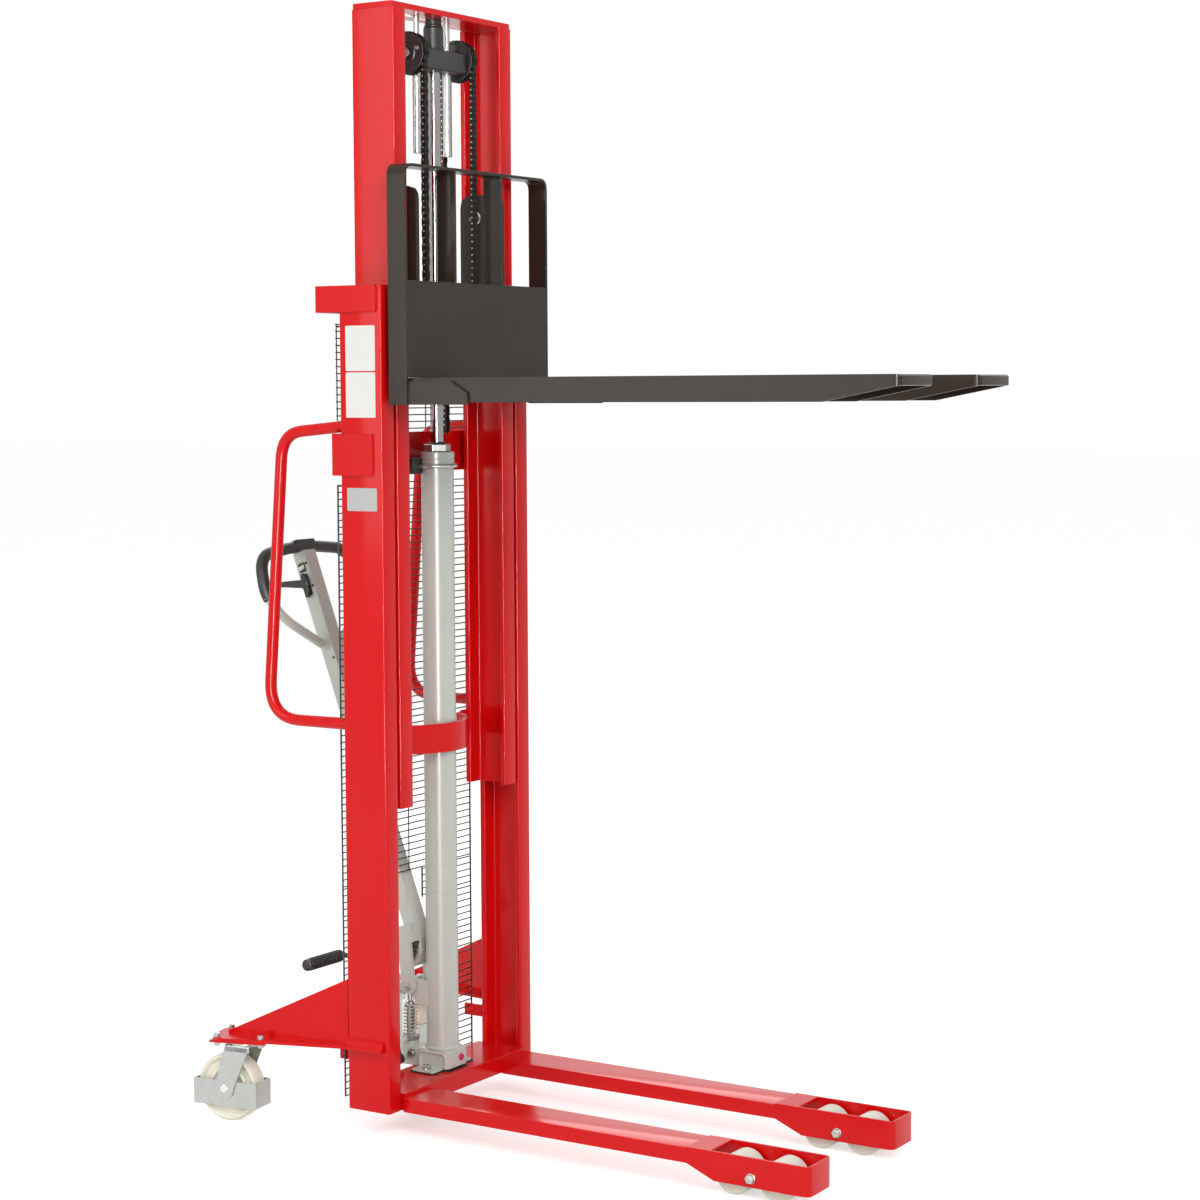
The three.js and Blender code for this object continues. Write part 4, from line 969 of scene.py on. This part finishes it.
# ------------------------------------------------------------ hydraulics
def hydraulic_cylinder():
    """The barrel with its gland and wiper, the chromed ram, and the clamp that holds it."""
    tube = Blank().turned((MAST_X, 0, 138.3), (0, 0, 1), [
        (0, 30), (0, 35), (1, 36), (1303.7, 36), (1304.7, 35), (1304.7, 30), (0, 30)], 96)
    tube.finish("cylinder_barrel", grey_paint, "chassis", "grey_paint", ("cylinder_tube",))
    seat = Blank().turned((MAST_X, 0, 138.4), (0, 0, 1), [
        (0, 36.3), (0, 40), (3, 40), (6.5, 36.6), (6.5, 36.3), (0, 36.3)], 96)
    seat.finish("cylinder_seat_weld", grey_paint, "chassis", "grey_paint")
    collar = Blank().turned((MAST_X, 0, 1443.3), (0, 0, 1), [
        (0, 15.6), (0, 37), (1, 37.7), (13, 37.7), (14, 36.4), (15.5, 36.4), (16.5, 37.7), (28, 37.7),
        (30, 36), (30, 15.6), (0, 15.6)], 96)
    collar.finish("gland_collar", grey_paint, "chassis", "zinc_plate", ("gland_nut",))
    nut = Blank().turned((MAST_X, 0, 1473.4), (0, 0, 1), [
        (0, 15.7), (0, 29), (1.5, 30.5), (15, 30.5), (16.8, 29), (16.8, 15.7), (0, 15.7)], 6)
    nut.finish("gland_hexagon", zinc_plate, "chassis", "zinc_plate", edge=0.8)
    wiper = Blank().turned((MAST_X, 0, 1490.3), (0, 0, 1), [
        (0, 15.6), (0, 20), (3, 19), (4.5, 16.6), (4.5, 15.6), (0, 15.6)], 64)
    wiper.finish("rod_wiper", black_plastic, "chassis", "black_plastic")
    ram = Blank().turned((MAST_X, 0, 960), (0, 0, 1), [
        (0, 28), (2, 29.5), (43, 29.5), (45, 28), (45, 15), (1339.7, 15)], 72)
    ram.finish("ram", chrome_plate, "lift_head", "chrome", ("lift_rod",))
    bend, level = 41.9, 1442
    arc = [(MAST_X + bend * math.sin(math.radians(turn)), -bend * math.cos(math.radians(turn)), level)
           for turn in range(0, 181, 10)]
    yoke = Blank().swept([(-93, -bend, level), *arc, (-93, bend, level)], 4, 16)
    yoke.finish("cylinder_u_bolt", zinc_plate, "chassis", "zinc_plate")
    refined("clamp_block", black_paint, 1.5)


def cylinder_foot():
    """A cast block with a foot plate on each side, on a dark gasket."""
    block = Blank().prism("xy", [(-15, -38, 9), (-15, 38, 9), (-96, 38, 4), (-96, -38, 4)], 96.4, 138)
    block.finish("foot_block", grey_paint, "chassis", "grey_paint", ("cylinder_base",), edge=2.2)
    ribs = Blank()
    for sign in (-1, 1):
        y = sign * 38
        rim = smooth_path([(-91, y, 98), (-91, y, 131, 8), (-22, y, 131, 8), (-22, y, 98)], 6)
        ribs.swept(rim, 3.2, 16)
    ribs.finish("foot_ribs", grey_paint, "chassis", "grey_paint")
    plates = Blank()
    for sign in (-1, 1):
        outline = [(-29, sign * 36), (-29, sign * 76, 9), (-89, sign * 76, 9), (-89, sign * 36)]
        plates.prism("xy", outline, 94.6, 99.4)
    plates.finish("foot_plates", grey_paint, "chassis", "grey_paint", edge=1.0)
    gasket = Blank()
    half = [(-12, 40, 9), (-25, 40, 3), (-25, 79, 9), (-93, 79, 9), (-93, 40, 3), (-96, 40, 3)]
    other_half = [(x, -y, corner) for x, y, corner in reversed(half)]
    gasket.prism("xy", [other_half[-1], *half, *other_half[:-1]], 92.3, 94.2)
    gasket.finish("foot_gasket", black_plastic, "chassis", "black_plastic")
    plug = Blank().turned((-15, 12, 117), (1, 0, 0), [(0, 8), (1, 8), (1, 6.8), (4.5, 6.6), (5.6, 5)], 32)
    plug.finish("filler_plug", plug_red, "chassis", "black_plastic")


def hand_pump():
    """The pump behind the mast, its plunger and return spring, and the nuts and caps round it."""
    refined("pump_bracket", grey_paint, 1.5)
    refined("pump_body", grey_paint, 1.8)
    cap = Blank().turned((PUMP_X, 0, 143), (0, 0, 1), [
        (0, 9), (0, 21.6), (2, 22.8), (9, 22.8), (12.8, 20), (12.8, 9.6)], 40)
    cap.finish("pump_cap", zinc_plate, "chassis", "zinc_plate", edge=0.4)
    plunger = Blank().turned((PUMP_X, 0, 140), (0, 0, 1), [(0, 8.2), (1, 9), (125, 9), (126.6, 7.4)], 40)
    plunger.turned((PUMP_X, 0, 226.4), (0, 0, 1), [
        (0, 10), (0, 17.2), (1, 18), (4, 18), (5, 17), (5, 10)], 40)
    plunger.finish("plunger_rod", bright_zinc, "pump_plunger", "chrome", ("pump_plunger",))
    coil = coil_pattern("return_spring_coil", spring_steel)
    guide = bpy.data.meshes.new("guide")
    mesh = coil.grow(guide, turns=8.0, radius=15.1, rise=63.0, wire=2.9)
    mesh.transform(Matrix.Translation((PUMP_X * MM, 0, 159.6 * MM)))
    spring = fitted("return_spring", mesh, None, None, ("pump_spring",))
    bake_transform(spring)
    rack = Blank().prism("yz", [(25, 150), (37, 150, 2), (37, 232, 2), (25, 232)], -128, -125.4)
    for k in range(6):
        rack.rod((-128.6, 31, 158 + 13 * k), (-124.9, 31, 158 + 13 * k), 2.8, 12)
    rack.turn(mirrored(-1)).finish("release_strip", zinc_plate, "chassis", "grey_paint")
    pivot_ends = [(TILLER_PIVOT_X, sign * 46.4, 275) for sign in (-1, 1)]
    bolt_set("tiller_pivot_nuts", "tiller", pivot_ends, [(0, -1, 0), (0, 1, 0)], 14, 4, 9)
    valve = Blank().turned((TILLER_PIVOT_X, 33, 118), (0, 1, 0), [
        (0, 9), (8, 9), (8, 6), (16, 6), (18, 4)], 24)
    valve.turned((TILLER_PIVOT_X, -31, 122), (0, -1, 0), [(0, 10), (6, 10), (6, 7), (10, 7)], 24)
    valve.finish("valve_caps", zinc_plate, "chassis", "zinc_plate", edge=0.4)


# ------------------------------------------------------------ lift head and chains
def lift_head():
    """The block on the ram, its axles and chain wheels, and the sleeves that run on the guide rods."""
    outline = [(x, z, 8) for x, z in ((-90, 2300), (-21, 2300), (-21, 2345), (-90, 2345))]
    block = Blank().prism("xz", outline, -74, 74)
    block.finish("head_block", black_paint, "lift_head", "black_paint", ("crosshead",), edge=1.5)
    post = Blank().turned((MAST_X, 0, 2344), (0, 0, 1), [
        (0, 22), (50, 22), (52, 20), (56, 20), (57, 18), (67.7, 18)], 48)
    post.finish("head_post", black_paint, "lift_head", "black_paint", edge=0.8)
    axles = Blank()
    for sign in (-1, 1):
        axles.turned((MAST_X, sign * 73, SHEAVE_Z), (0, sign, 0), [(0, 12.4), (34, 12.4), (35, 11.4)], 32)
    axles.finish("sheave_axles", zinc_plate, "lift_head", "black_paint")
    for side, sign in SIDES:
        sleeve = Blank().tube((-60, sign * 56, 2121), (-60, sign * 56, 2300.4), 10, 7.1, 40, 0.8)
        sleeve.rod((-60, sign * 41, 2126), (-60, sign * 71, 2126), 2, 12, 0.3)
        sleeve.finish("guide_sleeve_" + side, zinc_plate, "lift_head", "zinc_plate")
        wheel = Blank().turned((MAST_X, sign * 78, SHEAVE_Z), (0, sign, 0), both_faces(24, [
            (0, 13.1), (0, 22), (1.4, 24), (1.4, 38), (0, 40), (0, 45), (1, 46), (2.5, 46), (2.6, 34)]), 72)
        wheel.finish("chain_wheel_" + side, black_paint, "sheave_" + side, "black_paint", ("sheave_" + side,))
        circle = 31
        nuts = [(MAST_X + circle * math.cos(turn), sign * 100.6, SHEAVE_Z + circle * math.sin(turn))
                for turn in (0.3, 2.39, 4.49)]
        bolt_set("sheave_nuts_" + side, "sheave_" + side, nuts, [(0, sign, 0)] * 3, 8, 3, 5, 0.8)


def stadium(half, radius, steps=5):
    """An upright outline with round ends, as (x, z)."""
    points = []
    for centre, start in ((half, 0), (-half, math.pi)):
        for k in range(steps + 1):
            turn = start + math.pi * k / steps
            points.append((radius * math.cos(turn), centre + radius * math.sin(turn)))
    return points


def pattern_shape(name, blank):
    """A shape for a pattern to repeat, which is taken away once the chains are made."""
    mesh = bpy.data.meshes.new(name)
    blank.bm.to_mesh(mesh)
    blank.bm.free()
    return placed(name, mesh)


def link_shape(name, places, radius):
    """The leaf plates of one chain link, standing on the pin at the origin."""
    blank = Blank()
    half_plate = 0.95
    outline = [(x, z + CHAIN_PITCH / 2) for x, z in stadium(CHAIN_PITCH / 2, radius)]
    for y in places:
        blank.prism("xz", outline, y - half_plate, y + half_plate)
    bmesh.ops.recalc_face_normals(blank.bm, faces=blank.bm.faces)
    return pattern_shape(name, blank)


def pin_shape():
    """A chain pin, lying across the origin."""
    return pattern_shape("chain_pin", Blank().rod((0, -7.9, 0), (0, 7.9, 0), 2.1, 8, 0.5))


def strand(name, path, shapes):
    """Links and pins along a path whose places lie one pitch apart."""
    steels = [chain_steel, chain_pin_steel]
    bm = bmesh.new()
    for pattern, shape in shapes:
        start = len(bm.faces)
        bm.from_mesh(pattern.grow(guide_path(path), pitch=CHAIN_PITCH, link=shape))
        bm.faces.ensure_lookup_table()
        for face in bm.faces[start:]:
            face.material_index = steels.index(pattern.material)
    whole = bpy.data.meshes.new(name)
    bm.to_mesh(whole)
    bm.free()
    for steel in steels:
        whole.materials.append(steel)
    whole.shade_smooth()
    whole.set_sharp_from_angle(angle=SHARP_ANGLE)
    piece = placed(name, whole)
    return piece


def hanging(x, y, first, count):
    """Places down one side of a chain wheel, counted from the wheel's middle."""
    return [(x, y, SHEAVE_Z - CHAIN_PITCH * (first + i)) for i in range(count)]


def lift_chains():
    """Each chain as five strands: four hanging stretches, and the one over the wheel, which rides on the lift
    head.
    """
    shapes = (
        (link_pattern("outer_links", chain_steel, odd=False),
         link_shape("outer_link", (-6.3, -2.1, 2.1, 6.3), 5.4)),
        (link_pattern("inner_links", chain_steel, odd=True), link_shape("inner_link", (-4.2, 0, 4.2), 5.6)),
        (pin_pattern("link_pins", chain_pin_steel), pin_shape()),
    )
    front_x, rear_x = MAST_X + PITCH_RADIUS, MAST_X - PITCH_RADIUS
    for side, sign in SIDES:
        y = sign * SHEAVE_Y
        path = hanging(front_x, y, 0, FRONT_UPPER_LINKS)
        upper = strand("chain_front_upper_" + side, path, shapes)
        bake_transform(upper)
        path = hanging(front_x, y, FRONT_UPPER_LINKS, FRONT_LOWER_LINKS)
        lower = strand("chain_front_lower_" + side, path, shapes)
        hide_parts("chain_front_" + side)
        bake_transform(lower)
        path = hanging(rear_x, y, 0, REAR_UPPER_LINKS)
        upper = strand("chain_rear_upper_" + side, path, shapes)
        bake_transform(upper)
        path = hanging(rear_x, y, REAR_UPPER_LINKS, REAR_LOWER_LINKS)
        lower = strand("chain_rear_lower_" + side, path, shapes)
        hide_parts("chain_rear_" + side)
        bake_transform(lower)
        arc = [(MAST_X - PITCH_RADIUS * math.cos(turn), y, SHEAVE_Z + PITCH_RADIUS * math.sin(turn))
               for turn in (math.pi * k / WHEEL_LINKS for k in range(WHEEL_LINKS))]
        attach(strand("chain_over_wheel_" + side, arc, shapes), "lift_head")
    for _, shape in shapes:
        bpy.data.objects.remove(shape)


# ------------------------------------------------------------ carriage
def dress_carriage():
    """The carriage with its forks, and the rollers of both masts."""
    refined("carriage_frame", carriage_paint, 1.2)
    refined("load_hoop", carriage_paint, 1.0)
    refined("back_plate", carriage_paint, 1.0)
    for side, _ in SIDES:
        refined("fork_" + side, carriage_paint, 1.6)
        for level in ("lower", "upper"):
            refined("carriage_roller_%s_%s" % (level, side), zinc_plate, 1.2)
            refined("mast_roller_%s_%s" % (level, side), zinc_plate, 1.2)
    places = [(MAST_X, sign * 154, z) for sign in (-1, 1) for z in (1690, 1992)]
    aims = [(0, -math.copysign(1, place[1]), 0) for place in places]
    bolt_set("roller_axle_bolts", "carriage", places, aims, 19, 7, 15, 2)
    welds = Blank()
    for sign in (-1, 1):
        weld_bead(welds, (62, sign * 256, 1631), (62, sign * 108, 1631), 2)
        weld_bead(welds, (12, sign * 87, 2073), (60, sign * 87, 2073), 2)
    welds.finish("carriage_welds", carriage_paint, "carriage", "carriage_paint")


# ------------------------------------------------------------ casters and load rollers
def caster_frame(sign):
    """From the caster's own frame, where the wheel trails towards -x, to the machine's."""
    place = Matrix.Translation((*CASTER_PIVOT, 0)) @ Matrix.Rotation(-CASTER_SWIVEL, 4, "Z")
    return mirrored(sign) @ place


def caster(side, sign):
    """A pressed fork whose legs lie outside a thin guard round the wheel."""
    swivel = "caster_swivel_" + side
    turn = caster_frame(sign)
    axle_z = CASTER_WHEEL_RADIUS
    middle = -CASTER_TRAIL
    end_radius = 24
    round_end = [(middle - end_radius * math.cos(angle), axle_z - end_radius * math.sin(angle))
                 for angle in (math.pi * k / 16 for k in range(17))]
    outer, inner, sheet = 34.9, 31.7, 3.2
    fork = Blank()
    for y in (inner, -outer):
        fork.prism("xz", [*round_end, (28, 172), (-34, 172)], y, y + sheet)
    fork.prism("yz", [(-outer, 160), (-outer, 175.6, 5), (outer, 175.6, 5), (outer, 160),
                      (inner, 160), (inner, 172.4, 3), (-inner, 172.4, 3), (-inner, 160)], -34, 28)
    fork.turn(turn).finish("caster_fork_pressing_" + side, zinc_plate, swivel, "zinc_plate",
                           ("caster_fork_" + side,), edge=0.6)
    guard = Blank()
    reach, wall, lap = 80, 2.4, 1.2
    for y in (29.1, -31.5):
        guard.block((middle - reach, middle + reach), (y, y + wall), (35, 92))
    for x in (middle - reach, middle + reach - wall):
        guard.block((x, x + wall), (-29.2, 29.2), (35, 92))
    guard.turn(turn).finish("caster_guard_" + side, zinc_plate, swivel, "zinc_plate", edge=0.5)
    seam = Blank()
    for x in (middle - reach - lap, middle + reach):
        seam.block((x, x + lap), (-6, 22), (35.5, 91.5))
    seam.turn(turn).finish("caster_guard_seam_" + side, zinc_plate, swivel, "zinc_plate", edge=0.3)
    head = Blank().turned((0, 0, 170), (0, 0, 1), [(0, 30), (4, 36), (9, 36), (11, 34), (13.4, 33)], 64)
    head.turn(turn).finish("caster_bearing_" + side, zinc_plate, swivel, "zinc_plate", edge=0.5)
    axle = Blank().turned((middle, -36.6, axle_z), (0, 1, 0), [
        (0, 6), (1.4, 8.6), (1.7, 8.6), (1.7, 7.9), (71.5, 7.9), (71.5, 8.6), (71.8, 8.6), (73.2, 6)], 40)
    axle.turn(turn).finish("caster_axle_" + side, bright_zinc, swivel, "zinc_plate")
    face = [(0, 8.5), (0, 21), (1.2, 22), (5, 23), (6.4, 26), (6.4, 37), (5.2, 38.5), (3.4, 39.5), (3.4, 44),
            (5.2, 45.5), (6.2, 47), (6.2, 60), (4.8, 62), (1.6, 65.5), (0.6, 68), (1.4, 71), (5, 74),
            (10, CASTER_WHEEL_RADIUS)]
    wheel = Blank().turned((middle, -CASTER_WHEEL_WIDTH / 2, axle_z), (0, 1, 0),
                           both_faces(CASTER_WHEEL_WIDTH, face), 96)
    wheel.turn(turn).finish("caster_tread_" + side, cream_nylon, "caster_wheel_" + side, "cream_nylon",
                            ("caster_wheel_" + side,))


def load_rollers(side, sign):
    """A rocking bogie at the end of a leg, with a roller at each end."""
    refined("bogie_" + side, zinc_plate, 0.8)
    face = [(0, 7.6), (0, 13), (0, 17), (1.8, 18), (1.8, 30), (0.4, 31.5), (0, 37), (3, LOAD_ROLLER_RADIUS)]
    half_width, cap_gap = LOAD_ROLLER_WIDTH / 2, 0.3
    for end, x in (("rear", BOGIE_X - LOAD_ROLLER_SPREAD), ("front", BOGIE_X + LOAD_ROLLER_SPREAD)):
        name = "load_roller_%s_%s" % (end, side)
        ring = Blank().turned((x, LEG_Y - half_width, LOAD_ROLLER_RADIUS), (0, 1, 0),
                              both_faces(LOAD_ROLLER_WIDTH, face), 72)
        ring.turn(mirrored(sign)).finish(name + "_tread", white_nylon, name, "white_nylon", (name,))
        bearing = Blank()
        for out in (1, -1):
            start = (x, LEG_Y - out * (half_width + cap_gap), LOAD_ROLLER_RADIUS)
            bearing.turned(start, (0, out, 0), [
                (0, 7.6), (0, 15), (1, 16), (2.2, 16), (2.2, 7.6), (0, 7.6)], 48)
        bearing.turn(mirrored(sign)).finish(name + "_bearing", bright_zinc, name, "white_nylon")


# ------------------------------------------------------------ tiller and pedal
def on_shaft(along):
    """The place (x, z) on the tiller shaft's middle, so far along it."""
    x, z = TILLER_KNEE
    return (x - along * math.sin(TILLER_LEAN), z + along * math.cos(TILLER_LEAN))


def shaft_frame():
    """From (ahead of the shaft's middle, across, along it) to the machine's frame."""
    x, z = TILLER_KNEE
    return Matrix.Translation((x, 0, z)) @ Matrix.Rotation(-TILLER_LEAN, 4, "Y")


def tiller_grips():
    """The bow at the tiller's top: a covered grip, its two bare stays and the hub that it sits on."""
    radius = 13.5
    crest_fall, crest_reach, hub_reach, hub_gap = 16, 157, 20, 0.3
    crest = TILLER_LENGTH + radius + hub_gap + crest_fall * hub_reach / crest_reach

    def at(below, y, bend=0):
        x, z = on_shaft(crest - below)
        return (x, y, z, bend)

    def limb(sign):
        return [at(235, sign * 33.8), at(175, sign * 137, 20), at(107.5, sign * 177, 30),
                at(crest_fall, sign * crest_reach, 45)]

    loop = smooth_path(limb(-1) + [at(0, 0, 10)] + limb(1)[::-1], 12)
    top = Vector(at(0, 0)[:3])
    shaft_run = Vector((-math.sin(TILLER_LEAN), 0, math.cos(TILLER_LEAN)))
    grip = [point for point in loop if (top - point).dot(shaft_run) < GRIP_REACH]
    Blank().swept(grip, radius, 40).finish("bow_grip", grip_rubber, "tiller", "grip_rubber",
                                           ("tiller_bow",), edge=2)
    for side, sign in SIDES:
        stay = [at(112, sign * 174.5), at(170, sign * 134.5, 34), at(236, sign * 33)]
        path = smooth_path(stay, 10)
        Blank().swept(path, 10.5, 32).finish("bow_stay_" + side, grey_paint, "tiller", "grey_paint")
    hub = Blank()
    hub.prism("yz", [(-29, 0.3, 3), (29, 0.3, 3), (35, 27, 5), (-35, 27, 5)], -14.5, 14.5)
    for vert in hub.bm.verts:
        vert.co.z += TILLER_LENGTH
    hub.turn(shaft_frame()).finish("bow_hub", grip_rubber, "tiller", "grip_rubber", edge=2.4)


def tiller():
    """The tiller's shaft and knuckle, its stroke screw, and the control lever in its slot."""
    refined("tiller_shaft", grey_paint, 2.6)
    turn = shaft_frame()
    knuckle = Blank().prism("xz", [(-146, 388), (-102, 388, 6), (-97, 352, 8), (-108, 322, 8), (-126, 312, 8),
                                   (-140, 330, 8)], -24, 24)
    knuckle.finish("tiller_knuckle", grey_paint, "tiller", "grey_paint", edge=2.5)
    screw = Blank()
    screw.turned((-104, -30, 378), (-0.25, 0, -1), [
        (0, 4), (0, 7), (7, 7), (7, 4), (12, 4), (12, 6.5), (18, 6.5), (18, 4), (24, 4), (24, 7), (31, 7),
        (31, 4), (46, 4), (47, 3)], 6)
    screw.rod((-109, -30.5, 362), (-109, -23, 362), 5, 16, 0.5)
    screw.finish("stroke_screw", black_paint, "tiller", "black_paint", edge=0.5)
    slot = Blank()
    slot.prism("xz", [(-7, 792, 3), (7, 792, 3), (7, 842, 3), (-7, 842, 3)], -20.6, -19.2)
    slot.prism("xz", [(-12, 848, 3), (8, 848, 3), (8, 870, 3), (-12, 870, 3)], -20.6, -19.2)
    slot.turn(turn).finish("lever_slot", black_plastic, "tiller", "black_plastic", edge=0.3)
    catch = Blank().prism("xz", [(-11, 853, 2), (5, 856, 2), (5, 865, 2), (-11, 862, 2)], -23, -19.5)
    catch.turn(turn).finish("lever_catch", white_nylon, "tiller", "white_nylon", edge=0.5)
    holes = Blank()
    for ahead, along in ((12, 866), (12, 812), (11, 640)):
        holes.turned((ahead, -19.6, along), (0, -1, 0), [(0, 3.4), (0.7, 3.4), (0.75, 2.2)], 16)
    holes.turn(turn).finish("shaft_holes", black_plastic, "tiller", "black_plastic")
    x, z = on_shaft(LEVER_ALONG)
    lever = Blank()
    outline = [(4, -32, 3), (11, -30, 3), (9, 9, 5), (-5, 24, 3), (-11, 22, 3), (-9, 9, 4), (-55, 4, 0),
               (-85, -1, 4), (-85, -11, 4), (-55, -10, 0), (-4, -10, 4)]
    lever.prism("xz", [(x + ahead, z + rise, corner) for ahead, rise, corner in outline], -33, -24)
    lever.turned((x, -34.3, z), (0, 1, 0), [(0, 7.5), (1, 8.8), (13, 8.8), (14, 8)], 32)
    lever.finish("lever_blade", black_plastic, "control_lever", "black_plastic", ("control_lever",), edge=1.6)


def foot_pedal():
    """A bent arm on the pump's side, with a ribbed grip to step on."""
    grip_x, arm_y, grip_z = -280, -62, 335
    path = smooth_path([(-132, arm_y, 118), (-162, arm_y, 285, 20), (grip_x, arm_y, grip_z, 20),
                        (grip_x, -90, grip_z)])
    arm = Blank().swept(path, 6, 24)
    arm.tube((-132, -68, 112), (-132, -56, 112), 12, 5.6, 40)
    arm.finish("pedal_arm", black_paint, "foot_pedal", "black_plastic", ("foot_pedal",))
    grip = Blank().turned((grip_x, -82, grip_z), (0, -1, 0), [
        (0, 8), (0, 11.5), (2, 13.6), (6, 14), (8, 12.2), (112, 12.2), (116, 13.4), (121, 13), (123.6, 9),
        (124, 5)], 40)
    grip.finish("pedal_grip", black_plastic, "foot_pedal", "black_plastic")
    ribs = rib_pattern("grip_ribs", black_plastic)
    guide = guide_path([(grip_x, -92, grip_z), (grip_x, -192, grip_z)])
    mesh = ribs.grow(guide, spacing=9.0, radius=12.3, rib=2.1)
    fitted("pedal_grip_ribs", mesh, None, "foot_pedal")


dress_frame()
for side_name, side_sign in SIDES:
    grab_handle(side_name, side_sign)
    frame_welds(side_name, side_sign)
    mesh_tab(side_name, side_sign)
    caster(side_name, side_sign)
    load_rollers(side_name, side_sign)
blank_strips()
chassis_bolts()
rolling_bolts()
wire_guards()
hydraulic_cylinder()
cylinder_foot()
hand_pump()
lift_head()
lift_chains()
dress_carriage()
tiller_grips()
tiller()
foot_pedal()
